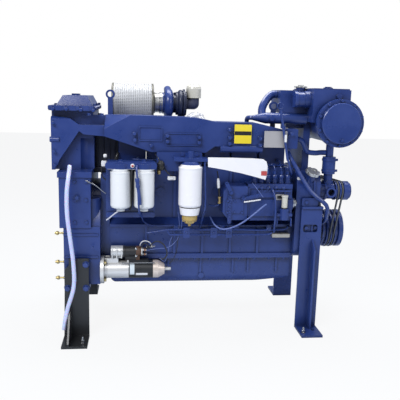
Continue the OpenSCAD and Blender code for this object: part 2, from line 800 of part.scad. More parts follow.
// Sea-water pump and alternator on the front cover, each with its pulley
sea_y = -150;
sea_z = crank_z+245;
sea_r = 46;
sea_fl_r = 56;
sea_fl_t = 12;
sea_shaft_r = 14;
sea_ridges = 3;
sea_cap_len = 17;
sea_len = pulley_x-cover_x1-5;
port_r = 24;
module sea_water_pump() {
	color(paint) difference() {
		union() {
			at(cover_x1,sea_y,sea_z) rod_x(sea_fl_r,sea_fl_t);
			at(cover_x1,sea_y,sea_z) rod_x(sea_r,sea_len);
			at(cover_x1+sea_len*0.42,sea_y,sea_z) rod_x(sea_fl_r*0.94,sea_fl_t);
			for (a = [0:45:315]) at(cover_x1+sea_fl_t,sea_y,sea_z) rotate([a,0,0])
				box(0,-rib_t/4,0,sea_len*0.42-sea_fl_t,rib_t/2,sea_fl_r*0.9);
			at(port_x,sea_y,sea_z) rod(port_r*1.25,sea_r+seam_h);
			at(port_x,sea_y,sea_z) rod(port_r,port_z-sea_z);
			at(port_x,sea_y-sea_r*1.6,sea_z) rod_y(port_r,sea_r*1.6);
			at(port_x,sea_y-sea_r*1.6,sea_z) rod_y(port_r*1.15,seam_h);
		}
		at(port_x,sea_y-sea_r*1.6-cut,sea_z) rod_y(port_r*0.75,sea_r);
		at(cover_x1+sea_len*0.5,sea_y,sea_z) rod_x(sea_shaft_r+run_fit,sea_len);
	}
}
module sea_pump_pulley() {
	r = sea_pul_d/2;
	at(pulley_x,sea_y,sea_z) {
		color(paint) grooved_pulley(r,sea_ridges,sea_ridges*belt_step,groove_h,sea_shaft_r,sea_len*0.4);
		color(paint) at(sea_ridges*belt_step,0,0) {
			rod_x(r,sea_cap_len-seam_h);
			rod_x(r*0.84,sea_cap_len);
			at(sea_cap_len,0,0) bolt_x(bolt_af*1.4);
		}
	}
}
alt_y = 172;
alt_z = crank_z+240;
alt_r = 66;
alt_len = pulley_x-cover_x1-6;
alt_shaft_r = 10;
alt_foot_h = 38;
module alternator() {
	color(steel) difference() {
		union() {
			at(cover_x1+seam_h,alt_y,alt_z) rod_x(alt_r*0.9,alt_len-seam_h);
			at(cover_x1+alt_len*0.14,alt_y,alt_z) rod_x(alt_r,alt_len*0.3);
			at(cover_x1+alt_len*0.56,alt_y,alt_z) rod_x(alt_r,alt_len*0.3);
			box(cover_x1,alt_y-alt_r*0.4,alt_z-alt_r-alt_foot_h,alt_len*0.8,alt_r*0.8,alt_r+alt_foot_h);
		}
		at(cover_x1+alt_len*0.5,alt_y,alt_z) rod_x(alt_shaft_r+run_fit,alt_len);
		for (k = [0:9]) at(cover_x1+alt_len*0.9,alt_y,alt_z) rotate([k*36,0,0])
			box(0,-rib_t/4,alt_r*0.35,alt_len,rib_t/2,alt_r*0.35);
	}
}
module alternator_pulley() {
	color(steel) at(pulley_x,alt_y,alt_z) {
		grooved_pulley(alt_pulley_d/2,sea_ridges,sea_ridges*belt_step,groove_h,alt_shaft_r,alt_len*0.4);
		at(sea_ridges*belt_step,0,0) bolt_x(bolt_af*1.4);
	}
}

// Two V-belts round the three pulleys, seated in their grooves
belt_w = 6.5;
belt_h = 12;
belt_share = 0.6;
module belt_loop_area(inner) {
	hull() {
		translate([0,crank_z]) circle(r = crank_pul_d/2-groove_h+4*gap+inner,$fn = 32);
		translate([sea_y,sea_z]) circle(r = sea_pul_d/2-groove_h+4*gap+inner,$fn = 32);
		translate([alt_y,alt_z]) circle(r = alt_pulley_d/2-groove_h+4*gap+inner,$fn = 32);
	}
}
module v_belts() {
	color(rubber) for (k = [0,1])
		at(pulley_x+(k+belt_share)*belt_step-belt_w/2,0,0) prism_x(belt_w)
			difference() { belt_loop_area(belt_h); belt_loop_area(0); }
}

// Intake manifold: a cast box along the heads with raised frames and ports
man_y = -250;
man_back = -head_w/2;
man_x0 = block_x0-22;
man_x1 = block_x1-74;
man_top = crank_z+634;
man_low = crank_z+485;
man_step = 26;
man_len = man_x1-man_x0;
man_h = man_top-man_low;
function man_at(s) = man_x0+man_len*s;
function man_up(s) = man_low+man_h*s;
port_t = 12;
port_w = 92;
frame_t = 5;
frame_w = 6;
duct_low_z = man_low+42;
man_shares = [[0,0],[0.132,0.02],[0.25,-0.22],[0.55,-0.22],[0.6,0],[1,0],[1,0.59],[0.985,0.61],
	[0.83,0.82],[0.6,0.83],[0.5,0.95],[0.43,0.965],[0.14,1],[0,0.975]];
function man_point(s) = [man_at(s[0]),
	s[0] == 0 && s[1] == 0 ? duct_low_z : man_up(s[1])];
module frame_on(x,z,w,h) {
	difference() {
		slab_y(x,man_y-frame_t,z,w,frame_t+cut,h,edge);
		slab_y(x+frame_w,man_y-frame_t-cut,z+frame_w,w-2*frame_w,frame_t+cut,
			h-2*frame_w,edge/2);
	}
}
module intake_manifold() {
	color(paint) {
		difference() {
			union() {
				at(0,man_back-port_t,0) rotate([90,0,0])
					linear_extrude(man_back-port_t-man_y)
						polygon([for (s = man_shares) man_point(s)]);
				for (i = each_cyl)
					box(cyl_x(i)-port_w/2,man_back-port_t-cut,man_low,port_w,port_t+cut,head_z-man_low-edge);
			}
			at(man_at(0.132),man_y,man_top-man_h*0.03)
				rotate([0,-28,0]) at(-man_len*0.3,0,0)
					rotate([33,0,0]) box(0,-man_h,0,man_len*0.34,3*man_h,man_h);
			box(man_at(0.36),man_y-cut,man_low-cut,man_len*0.135,man_step*0.4,man_h*0.27);
		}
		at(man_at(0.63),man_y+man_step*0.2,man_low-man_step*0.4)
			rod_x(man_step*0.7,man_len*0.235);
		frame_on(man_at(0.182),man_up(0.14),man_len*0.13,
			man_h*0.5);
		frame_on(man_at(0.3265),man_low,man_len*0.197,man_h*0.44);
		for (s = [[0.162,0.39],[0.166,0.17],[0.341,0.33],[0.342,0.15],[0.512,0.32],[0.512,0.13],
			[0.679,0.58],[0.681,0.31],[0.681,0.09],[0.848,0.31],[0.848,0.08]])
			bolt_near(man_at(s[0]),man_y,man_up(s[1]),bolt_af*0.8);
		slab_y(man_x1-frame_w,man_y+frame_t,man_low-frame_w,stub_w+frame_w,
			stub_d,man_h*0.68,frame_w);
		bolt_near(man_x1+stub_w*0.2,man_y+frame_t,man_up(0.38),bolt_af*0.6);
	}
	color(white) box(man_at(0.865),man_y-plug_h/2,man_low+frame_w,man_len*0.128,plug_h/2,man_h*0.54);
}
stub_w = 62;
stub_d = 70;

// Intercooler: a deep box across the engine with a plenum and duct
cool_y0 = -cooler_len/2;
cool_x0 = ped_x0-40;
cool_z0 = ped_z1;
cool_z1 = cool_z0+cooler_h;
cool_fl_t = 24;
fl_out = 7;
plenum_t = 46;
function cooler_at(s) = cool_x0+cooler_w*s;
function cooler_up(s) = cool_z0+cooler_h*s;
cool_shares = [[0.005,0.01],[0.09,0.01],[0.2,0.17],[0.67,0.615],[0.78,0.565],[1.28,0.541],[1.28,0.709],
	[0.67,0.715],[0.45,0.81],[0.1,0.835],[0.005,0.835]];
boss_r = 14;
boss_len = 46;
module cool_side(t) {
	plate_y(t)
		polygon([for (s = cool_shares) [min(cooler_at(s[0]),man_x0),cooler_up(s[1])]]);
}
module intercooler() {
	color(paint) {
		difference() {
			box(cool_x0,cool_y0+plenum_t,cool_z0,cooler_w,cooler_len-plenum_t,cooler_h-cool_fl_t);
			at(cool_x0+cooler_w,cool_y0+plenum_t-cut,cool_z0-cut)
				along_column(column_r*2);
		}
		difference() {
			at(0,cool_y0+plenum_t,0) cool_side(plenum_t);
			for (s = [[0,0.83]]) at(cool_x0-cut,cool_y0,cooler_up(s[1])-plenum_t*0.22)
				rotate([38,0,0]) cube([cooler_w*0.6,plenum_t*2,plenum_t]);
		}
		box(man_x0-duct_len,cool_y0+plenum_t-cut,duct_low_z,duct_len,
			man_back-port_t-cool_y0-plenum_t+cut,man_top-duct_low_z-frame_w);
		box(cool_x0-fl_out,cool_y0-fl_out,cool_z1-cool_fl_t,cooler_w+2*fl_out,cooler_len+2*fl_out,cool_fl_t);
		at(cool_x0-boss_r*0.4,cool_y0+boss_r*0.4,cooler_up(0.48))
			rod_x(boss_r,boss_len);
		for (k = [0:3])
			bolt_near(cooler_at((0.02+0.32*k)),cool_y0-fl_out,
				cool_z1-cool_fl_t/2,bolt_af);
		for (k = [0:5],side = [0,1])
			at(side == 0 ? cool_x0-fl_out : cool_x0+cooler_w+fl_out,cool_y0+cooler_len*(k+0.5)/6,cool_z1-cool_fl_t/2)
				rotate([0,side == 0 ? -90 : 90,0]) bolt_head(bolt_af);
		for (k = [0,1])
			bolt_top(man_x0-duct_len*(0.78-0.56*k),(cool_y0+plenum_t+man_back)/2,man_top-frame_w,bolt_af);
	}
}
duct_len = man_x0-cool_x0-cooler_w*0.7;
module along_column(r) {
	at(0,-r*0.4,-cut) rod(r*0.8,cooler_h*0.5);
}

// Intercooler cover: a shallow hipped cap with two small lugs
cover_rise = 50;
cover_lug_h = 9;
cover_in_share = 0.14;
slope_share = 0.26;
module intercooler_cover() {
	w = cooler_w*0.86;
	x0 = cool_x0+(cooler_w-w)*0.9;
	color(paint) {
		intersection() {
			at(0,-cool_y0,cool_z1) plate_y(cooler_len)
				polygon([[x0,0],[x0+w,0],[x0+w*(1-cover_in_share),cover_rise],
					[x0+w*slope_share*0.7,cover_rise]]);
			at(x0,0,cool_z1) prism_x(w)
				polygon([[cool_y0+plenum_t/3,0],[-cool_y0-plenum_t/3,0],
					[-cool_y0-plenum_t,cover_rise],[cool_y0+plenum_t*0.6,cover_rise]]);
		}
		box(x0+w*0.36,cool_y0+cooler_len*0.3,cool_z1+cover_rise,w*0.22,cooler_len*0.12,cover_lug_h);
		for (k = [0:2]) bolt_top(x0-bolt_af*0.3,cool_y0+cooler_len*(0.1+0.4*k),cool_z1+cut,bolt_af*0.7);
		for (k = [0:2])
			bolt_top(x0+w+bolt_af*0.5,cool_y0+cooler_len*(0.1+0.4*k),cool_z1+cut,bolt_af*0.7);
	}
}

// Exhaust manifold along the far side of the heads, with the riser to the turbocharger
turbo_y = 150;
turbo_z = 1195;
exh_r = 44;
exh_y = head_w/2+62;
exh_z = deck_z+head_h*0.62;
turb_x = -124;
riser_w = 78;
module exhaust_manifold() {
	color(paint) {
		at(cyl_x(0)-pitch*0.4,exh_y,exh_z) rod_x(exh_r,pitch*(cyls-0.2));
		for (i = each_cyl) {
			at(cyl_x(i),head_w/2,exh_z) rod_y(exh_r*0.72,exh_y-head_w/2);
			box(cyl_x(i)-port_w/2,head_w/2,exh_z-exh_r,port_w,port_t,2*exh_r);
		}
		for (x = [cyl_x(0)-pitch*0.4,web_x(cyls/2)-port_t,
			cyl_x(cyls-1)+pitch*0.4-2*port_t])
			at(x,exh_y,exh_z) rod_x(exh_r*1.2,2*port_t);
		box(turb_x-riser_w/2,exh_y-riser_w*0.6,exh_z,riser_w,riser_w*0.9,turbo_z-turb_r-exh_z);
		box(turb_x-riser_w*0.65,turbo_y-riser_w*0.55,turbo_z-turb_r-port_t,riser_w*1.3,riser_w*1.2,port_t);
	}
}

// Air filter drum, its neck to the compressor, and the turbocharger
comp_x0 = -228;
comp_len = 62;
comp_r = 80;
turb_r = 76;
core_len = 24;
turb_l = 40;
neck_r = 53;
neck_wall = 3;
drum_x1 = -278;
end_cap_t = 10;
end_cap_out = 6;
drum_wall = 4;
module air_filter() {
	x0 = drum_x1-drum_len;
	at(x0,turbo_y,turbo_z) {
		color(steel) at(end_cap_t,0,0) difference() {
			rod_x(drum_d/2,drum_len-2*end_cap_t);
			at(-cut,0,0) rod_x(drum_d/2-drum_wall,drum_len);
		}
		color(black) {
			rod_x(drum_d/2+end_cap_out,end_cap_t);
			at(drum_len-end_cap_t,0,0) difference() {
				rod_x(drum_d/2+end_cap_out,end_cap_t);
				bore_x(neck_r,end_cap_t);
			}
		}
	}
}
module air_intake_neck() {
	color(steel) at(drum_x1-end_cap_t,turbo_y,turbo_z) difference() {
		union() {
			rod_x(neck_r,comp_x0-drum_x1+end_cap_t);
			for (x = [end_cap_t,comp_x0-drum_x1]) at(x,0,0) rod_x(neck_r+neck_wall,end_cap_t);
		}
		bore_x(neck_r-neck_wall,comp_x0-drum_x1+end_cap_t);
	}
}
wheel_r = 42;
spindle_r = 9;
wheel_len = 40;
module scroll(r,w,throat_r) {
	rotate([0,90,0]) rotate_extrude() {
		translate([throat_r,0]) square([r-throat_r-w/2,w]);
		translate([r-w/2,w/2]) circle(r = w/2,$fn = 32);
	}
}
module turbocharger() {
	color(paint) at(comp_x0,turbo_y,turbo_z) {
		difference() {
			union() {
				rod_x(neck_r+2*neck_wall,comp_len*0.4);
				at(comp_len*0.14,0,0) scroll(comp_r+neck_wall,comp_len*0.8,wheel_r);
				rod_x(comp_r*0.72,comp_len);
				at(comp_len*0.52,0,comp_r*0.55)
					rotate([-70,0,0]) rod(comp_len*0.33,comp_r*1.25);
			}
			at(-cut,0,0) rod_x(neck_r-neck_wall,comp_len*0.3);
			rod_x(wheel_r+gap,comp_len*0.3+wheel_len);
			rod_x(spindle_r+run_fit,comp_len+cut);
		}
	}
	color(black) at(comp_x0+comp_len,turbo_y,turbo_z) {
		difference() {
			union() {
				rod_x(turb_r*0.62,core_len);
				at(core_len/2,0,-turb_r*0.7) rod(core_len*0.45,turb_r*1.5);
				at(core_len-seam_h,0,0) rod_x(turb_r*0.85,seam_h);
				at(core_len,0,0) scroll(turb_r,turb_l*0.8,wheel_r*0.8);
				at(core_len,0,0) rod_x(turb_r*0.8,turb_l);
				at(core_len+turb_l-seam_h,0,0) intersection() {
				rod_x(turb_r*1.05,seam_h);
				box(-cut,-turb_r*1.1,-turb_r*0.97,seam_h+2*cut,turb_r*2.2,turb_r*2.1);
			}
				box(core_len+turb_l*0.1,-riser_w*0.4,-turb_r,turb_l*0.8,riser_w*0.8,turb_r);
			}
			bore_x(spindle_r+run_fit,core_len);
			at(core_len,0,0) rod_x(wheel_r+gap,turb_l+cut);
		}
	}
}

// Turbo rotor: compressor wheel, shaft and turbine wheel in one turning piece
blade_t = 3;
blade_count = 8;
module turbo_wheel(l,back) {
	rotate([0,90,0]) {
		rotate_extrude()
			polygon([[0,0],[wheel_r-blade_t,back ? l : 0],[wheel_r-blade_t,back ? l-blade_t : blade_t],
				[spindle_r,back ? 0 : l],[0,back ? 0 : l]]);
		for (k = [0:blade_count-1]) turn(k*360/blade_count)
			box(0,-blade_t/2,0,wheel_r-1.5*blade_t,blade_t,l);
	}
}
module turbo_rotor() {
	color(steel) at(comp_x0,turbo_y,turbo_z) {
		at(comp_len*0.3,0,0) turbo_wheel(wheel_len*0.9,true);
		at(comp_len*0.3,0,0)
			rod_x(spindle_r,comp_len*0.7+core_len+turb_l*0.5);
		at(comp_len+core_len+turb_l*0.1,0,0) turbo_wheel(wheel_len*0.9,false);
	}
}

// Exhaust elbow behind the turbine, turned up, and the protective cap over its outlet
elbow_r = 32;
elbow_lip_r = 38;
elbow_t = 8;
elbow_bend = 51;
elbow_rise = 40;
exh_cap_r = 42;
exh_cap_h = 74;
elbow_x = comp_x0+comp_len+core_len+turb_l;
module exhaust_elbow() {
	color(black) at(elbow_x,turbo_y,turbo_z) difference() {
		union() {
			rod_x(turb_r*0.88,elbow_t);
			rod_x(elbow_r,elbow_bend);
			at(elbow_bend,0,0) {
				sphere(r = elbow_r);
				rod(elbow_r,elbow_rise);
				up(elbow_rise-elbow_t) rod(elbow_lip_r,elbow_t);
			}
		}
		at(-cut,0,0) rod_x(elbow_r*0.86,elbow_bend+cut);
		at(elbow_bend,0,0) {
			sphere(r = elbow_r*0.86);
			rod(elbow_r*0.86,elbow_bend+cut);
		}
	}
}
module exhaust_cap() {
	color("#e6dfc4") at(elbow_x+elbow_bend,turbo_y,turbo_z+elbow_rise-elbow_t) difference() {
		union() {
			rod(exh_cap_r,exh_cap_h*0.7);
			up(exh_cap_h*0.7) cone(exh_cap_r,exh_cap_r*0.93,exh_cap_h*0.16);
			up(exh_cap_h*0.86) cone(exh_cap_r*0.93,exh_cap_r*0.68,exh_cap_h*0.14);
		}
		up(-cut) rod(elbow_lip_r,elbow_t+cut);
		rod(elbow_r,exh_cap_h*0.8);
	}
}

// Heat exchanger: a tube shell across the engine between two flanged end covers
shell_x = cover_x1+60;
shell_z = crank_z+616;
shell_fl = 14;
shell_dish = 26;
cover_bolts = 10;
shell_y0 = -shell_len/2;
module heat_exchanger() {
	color(paint) at(shell_x,0,shell_z) {
		at(0,shell_y0,0) rod_y(shell_d/2,shell_len);
		for (y = [shell_y0,-shell_y0-shell_fl]) at(0,y,0) rod_y(cover_d/2,shell_fl);
		at(port_x-shell_x,sea_y,-shell_d/2-port_r) rod(port_r*0.86,shell_d/2);
		at(port_x-shell_x,sea_y,hose_z1-shell_z-seam_h)
			rod(port_r*0.86,shell_z-hose_z1);
	}
}
module shell_cover(side) {
	at(shell_x,side*-shell_y0,shell_z) rotate([side*-90,0,0]) {
		rod(cover_d/2,shell_fl);
		up(shell_fl) rod(cover_d*0.42,shell_dish-shell_fl/2);
		up(shell_dish+shell_fl/2)
			cone(cover_d*0.42,cover_d*0.4,plug_h);
		for (k = [0:cover_bolts-1]) turn((k+0.5)*360/cover_bolts)
			at(cover_d*0.462,0,shell_fl) bolt_head(bolt_af*0.8);
	}
}
module heat_exchanger_covers() {
	color(paint) for (side = [-1,1]) shell_cover(side);
}

// Header tank over the heat exchanger, with its thermostat housing and bracket
tank_y0 = -262;
tank_len = 400;
tank_w = 197;
tank_x0 = shell_x-137;
tank_z1 = crank_z+790;
bracket_w = 37;
tank_edge = 6;
side_w = 145;
side_y0 = -150;
side_len = 200;
side_h = 118;
side_drop = 13;
stat_r = 38;
stat_y = -191;
stat_drop = 58;
bracket_len = 240;
neck_cap_h = 16;
cap_x = tank_x0-side_w*0.16;
cap_y = -100;
vent_x = tank_x0+tank_w*0.72;
module header_tank() {
	color(paint) difference() {
		union() {
			box(tank_x0,tank_y0,shell_z,tank_w,tank_len,tank_z1-shell_z-tank_edge);
			box(tank_x0+tank_edge,tank_y0+tank_edge,tank_z1-tank_edge,tank_w-2*tank_edge,
				tank_len-2*tank_edge,tank_edge);
			box(tank_x0,-bracket_len/2,case_z1,bracket_w,bracket_len,shell_z-case_z1);
			box(case_x1-bracket_w*2,-bracket_len/2,case_z1,tank_x0+bracket_w-case_x1+bracket_w*2,
				bracket_len,bracket_w/3);
			box(tank_x0-side_w,side_y0,tank_z1-side_drop-side_h,side_w,side_len,side_h);
			box(tank_x0-side_w*0.62,side_y0+side_len*0.3,tank_z1-side_drop-side_h*1.7,side_w*0.62,
				side_len*0.6,side_h);
			at(tank_x0-side_w*0.58,stat_y,tank_z1-stat_drop)
				rod_x(stat_r,side_w*0.58);
			at(tank_x0-side_w*0.58,stat_y,tank_z1-stat_drop)
				rod_x(stat_r*1.12,side_w*0.12);
			at(tank_x0-side_w*0.2,stat_y,tank_z1-stat_drop)
				rod_x(stat_r*1.12,side_w*0.2);
			box(tank_x0-side_w*0.4,stat_y,tank_z1-stat_drop-stat_r*0.8,side_w*0.4,side_y0-stat_y+cut,stat_r*1.6);
			at(tank_x0+tank_w*0.68,tank_y0,shell_z+cover_d*0.55) rotate([90,0,0])
				rod(boss_r,seam_h);
			at(cap_x,cap_y,tank_z1-side_drop) rod(filler_r,neck_cap_h);
			at(vent_x,vent_y,tank_z1) {
				rod(vent_r,vent_h*0.6);
				rod(vent_r*0.7,vent_h);
			}
		}
		at(shell_x,tank_y0-cut,shell_z) rod_y(shell_d/2,tank_len+2*cut);
		at(shell_x,tank_y0-shell_fl*3,shell_z)
			rod_y(cover_d/2+gap,shell_y0-tank_y0+shell_fl*4);
		at(cap_x,cap_y,tank_z1-side_drop-side_h/2)
			rod(filler_r*0.72+run_fit,side_h);
	}
}
filler_r = 25;
filler_skirt_t = 3;
filler_cap_h = 13;
module filler_cap() {
	color(steel) at(cap_x,cap_y,tank_z1-side_drop+neck_cap_h+cut/4) {
		rod(filler_r+filler_skirt_t,filler_cap_h*0.5);
		up(filler_cap_h*0.5) rod(filler_r*0.6,filler_cap_h*0.5);
		for (a = [0,180]) turn(a) box(0,-filler_r*0.3,0,filler_r*1.36,filler_r*0.6,filler_cap_h*0.5);
		up(-neck_cap_h) rod(filler_r*0.72,neck_cap_h);
	}
}
vent_y = -60;
vent_r = 26;
vent_h = 12;

// Rigid coolant pipes: the rail over the heads, the bend into the header tank and the bypass
rail_r = 29;
rail_y = -150;
rail_z = crank_z+630;
rail_x0 = man_at(0.9);
cone_len = 72;
rail_thin_r = 12;
rail_foot_y = -head_w/2+20;
bend_r = 18;
bypass_r = 14;
bypass_z = crank_z+452;
module coolant_pipes() {
	color(paint) {
		at(rail_x0,rail_y,rail_z) rod_x(rail_r,tank_x0-rail_x0);
		at(rail_x0-cone_len,rail_y,rail_z) rotate([0,90,0])
			cone(rail_thin_r,rail_r,cone_len);
		at(rail_x0+rail_r,rail_y-rail_r*0.9,rail_z) rotate([90,0,0]) rod(boss_r,boss_r*0.5);
		swept_tube(smooth([
			[rail_x0-cone_len,rail_y,rail_z],
			[rail_x0-cone_len*1.14,rail_y+rail_thin_r*0.5,rail_z],
			[rail_x0-cone_len*1.24,rail_foot_y-rail_thin_r*0.6,rail_z-rail_thin_r*0.6],
			[rail_x0-cone_len*1.24,rail_foot_y,rail_z-rail_thin_r*4],
			[rail_x0-cone_len*1.24,rail_foot_y,head_z]],4),rail_thin_r,10,[1,0,1]);
		swept_tube(smooth([
			[rail_x0-cone_len*0.2,rail_y+rail_r*0.4,rail_z],
			[rail_x0-cone_len*0.16,rail_y+rail_r*1.3,rail_z+bend_r*2.8],
			[rail_x0+bend_r*1.2,rail_y+rail_r*2.3,rail_z+bend_r*5.6],
			[rail_x0+bend_r*2.8,rail_y+rail_r*2.7,rail_z+bend_r*6.8],
			[tank_x0-side_w,rail_y+rail_r*2.7,rail_z+bend_r*6.9]],6),bend_r*1.16,12,[0,1,0]);
		swept_tube(smooth([
			[man_x1+stub_w,man_y+stub_d*0.6,man_up(0.3)],
			[man_x1+stub_w*1.55,man_y+stub_d*0.65,man_up(0.2)],
			[man_x1+stub_w*2.1,man_y+stub_d*0.9,bypass_z+bypass_r*0.8],
			[man_x1+stub_w*2.8,sea_y-bypass_r*2,bypass_z],
			[port_x-port_r*2,sea_y,bypass_z],[port_x-port_r*0.86,sea_y,bypass_z]],6),bypass_r,12,[0,1,0]);
	}
}

// Rubber hose between the heat exchanger and the sea-water pump, held by two clamps
port_x = cover_x1+66;
hose_z1 = crank_z+430;
hose_r = 35;
hose_h = 92;
port_z = hose_z1-hose_h+20;
clamp_w = 12;
clamp_t = 3;
module pump_hose() {
	at(port_x,sea_y,hose_z1-hose_h) {
		color(navy) difference() {
			union() {
				rod(hose_r,hose_h);
				for (z = [0.12,0.76]) up(hose_h*z) rod(hose_r+clamp_t,clamp_w);
			}
			up(-cut) rod(port_r,hose_h*0.5);
			up(hose_h*0.5) rod(port_r*0.86,hose_h);
		}
		color(steel) for (z = [0.12,0.76])
			box(hose_r,-clamp_w*0.8,hose_h*z,clamp_w,clamp_w*0.8,clamp_w);
	}
}

// Long return hose from the manifold end down to the front cover
ret_r = 11;
ret_y = -272;
ret_route = [
	[man_x1+stub_w*0.35,man_y+stub_d*0.4,man_low-frame_w],
	[man_x1+stub_w*0.35,man_y+stub_d*0.4,man_low-ret_r*2.4],
	[man_x1+stub_w*0.45,man_y-ret_r*0.4,man_low-ret_r*5],
	[man_x1+stub_w*0.85,ret_y,man_low-ret_r*9],
	[man_x1+stub_w*1.5,ret_y-ret_r,man_low-ret_r*15],
	[man_x1+stub_w*2.3,ret_y-ret_r*1.4,man_low-ret_r*21],
	[cover_x1+ret_r*2,ret_y-ret_r*0.6,man_low-ret_r*27],
	[cover_x1+ret_r*3.4,ret_y+ret_r*2,man_low-ret_r*32],
	[cover_x1+ret_r*3.6,ret_y+ret_r*5,man_low-ret_r*36],
	[cover_x1+ret_r*2,ret_y+ret_r*7,man_low-ret_r*38],
	[cover_x1,ret_y+ret_r*7,man_low-ret_r*38]];
module return_hose() {
	color(navy) swept_tube(smooth(ret_route,3),ret_r,10,[1,1,0]);
}

// Injection pump with governor, delivery valves and feed pump
pump_y = -240;
pump_b = 48;
pump_x0 = man_x0+740;
pump_x1 = pump_x0+pump_len;
pump_z0 = crank_z+130;
pump_z1 = crank_z+298;
gov_len = 126;
gov_drop = 18;
gov_half = 62;
gov_x0 = pump_x0-gov_len-13;
valve_step = 35.6;
valve_r = 12;
valve_h = 56;
drive_z = pump_z0+62;
drive_r = 12;
window_h = 42;
feed_r = 23;
feed_h = 58;
feed_x = pump_x1-46;
feed_y = pump_y-pump_b-feed_r;
throt_x = gov_at(0.82);
throt_z = pump_z0+96;
stop_x = gov_at(0.3);
stop_z = pump_z0+128;
pivot_r = 7;
shelf_t = 26;
gov_face_y = pump_y-gov_half-frame_t;
function pump_at(s) = pump_x0+pump_len*s;
function pump_up(s) = pump_z0+(pump_z1-pump_z0)*s;
function gov_at(s) = gov_x0+gov_len*s;
function valve_x(i) = pump_x1-17-(cyls-1-i)*valve_step;
module injection_pump() {
	color(paint) difference() {
		union() {
			box(pump_x0,pump_y-pump_b,pump_z0,pump_len,2*pump_b,(pump_z1-pump_z0)*0.52);
			box(pump_x0,pump_y-pump_b*0.8,pump_z0,pump_len,1.6*pump_b,pump_z1-pump_z0-seam_h);
			box(pump_x0-seam_h,pump_y-pump_b*0.92,pump_z1-2.4*seam_h,pump_len+seam_h,1.84*pump_b,2.4*seam_h);
			slab_y(pump_at(0.2),pump_y-pump_b*0.8-frame_t,pump_up(0.58),
				pump_len*0.72,frame_t+cut,window_h,edge);
			at(pump_x1,pump_y,drive_z) rod_x(pump_b*0.84,seam_h);
			at(gov_x0,pump_y+gov_half,0) plate_y(2*gov_half)
				polygon([[0,pump_z0+gov_drop],[gov_len*0.24,pump_z0-gov_drop],
					[gov_len,pump_z0-gov_drop],[gov_len,pump_z1-seam_h],
					[gov_len*0.2,pump_z1-seam_h],[0,pump_z1-4*seam_h]]);
			box(gov_x0+gov_len,pump_y-pump_b*1.1,pump_z0,pump_x0-gov_x0-gov_len,2.2*pump_b,pump_z1-pump_z0-2*seam_h);
			slab_y(gov_at(0.12),gov_face_y,pump_z0+gov_drop,
				gov_len*0.72,frame_t+cut,(pump_z1-pump_z0)*0.44,edge);
			for (i = each_cyl) at(valve_x(i),pump_y,pump_z1) {
				rod(valve_r*1.2,valve_h*0.3);
				rod(valve_r,valve_h*0.72);
				up(valve_h*0.5) rod(valve_r,valve_h*0.3,$fn = 6);
			}
			at(feed_x,pump_y-pump_b-feed_r,pump_z0+feed_r*0.2) {
				up(-feed_h*0.3) rod(feed_r,feed_h);
				box(-feed_r,0,0,2*feed_r,feed_r+cut,feed_h*0.6);
				at(-feed_r*1.8,0,feed_h*0.12) rod_x(feed_r*0.42,feed_r*3.6);
			}
			at(throt_x,gov_face_y-seam_h,throt_z)
				rod_y(pivot_r*1.8,seam_h+frame_t);
			at(stop_x,gov_face_y-seam_h,stop_z)
				rod_y(pivot_r*1.8,seam_h+frame_t);
			for (k = [0:6]) bolt_near(pump_at((0.24+0.107*k)),pump_y-pump_b*0.8-frame_t,
				pump_up(0.58)+window_h*0.86,bolt_af*0.5);
			for (p = [[0.18,0.14],[0.78,0.14],[0.18,0.5],[0.78,0.5]])
				bolt_near(gov_at(p[0]),gov_face_y,
					pump_up(p[1]),bolt_af*0.6);
			box(pump_x0+seam_h,pump_y-pump_b*0.7,pump_z0-shelf_t,pump_len-seam_h,
				jacket_y-rib_h-pump_y+pump_b*0.7,shelf_t);
			for (k = [0,1]) box(pump_x0+seam_h+k*(pump_len-rib_t-seam_h),pump_y,shoulder_z,rib_t,
				jacket_y-rib_h-pump_y,pump_z0-shoulder_z);
		}
		at(pump_x1-pump_b,pump_y,drive_z) rod_x(drive_r+run_fit,2*pump_b);
		at(feed_x,pump_y-pump_b-feed_r,pump_z0+feed_h*0.3)
			rod(primer_r*0.5+run_fit,feed_h);
		for (p = [[throt_x,throt_z],[stop_x,stop_z]])
			at(p[0],gov_face_y-seam_h-cut,p[1])
				rod_y(pivot_r+run_fit,3*seam_h);
	}
}
module pump_coupling() {
	color(steel) at(pump_x1-pump_b*0.6,pump_y,drive_z)
		rod_x(drive_r,block_x1-pump_x1+pump_b*0.6);
	color(steel) at(pump_x1+seam_h+gap*4,pump_y,drive_z) {
		rod_x(pump_b*0.62,seam_h*0.8);
		at(seam_h,0,0) rod_x(pump_b*0.5,seam_h*0.8);
	}
}
primer_r = 15;
primer_h = 64;
primer_lift = 6;
module hand_primer() {
	color("#e3dcc4") at(feed_x,pump_y-pump_b-feed_r,pump_z0+feed_h*0.78+primer_lift) {
		rod(primer_r,primer_h);
		up(primer_h*0.86) rod(primer_r*1.16,primer_h*0.14);
		up(-primer_lift-feed_h*0.3) rod(primer_r*0.5,feed_h*0.5);
	}
}
lever_t = 6;
lever_w = 18;
throttle_len = 78;
stop_len = 54;
module gov_lever(x,z,l,a) {
	at(x,gov_face_y-seam_h-gap,z) rotate([90,0,0]) {
		up(-2*seam_h) rod(pivot_r,2*seam_h+lever_t);
		turn(a) difference() {
			union() {
				rod(lever_w*0.62,lever_t);
				box(0,-lever_w/2,0,l,lever_w,lever_t);
				at(l,0,0) rod(lever_w/2,lever_t);
			}
			at(l,0,-cut) rod(pivot_r*0.5,lever_t+2*cut);
		}
		rod(pivot_r*1.1,lever_t+pivot_r,$fn = 6);
	}
}
module throttle_lever() { color(steel) gov_lever(throt_x,throt_z,throttle_len,14); }
module stop_lever() { color(paint) gov_lever(stop_x,stop_z,stop_len,118); }

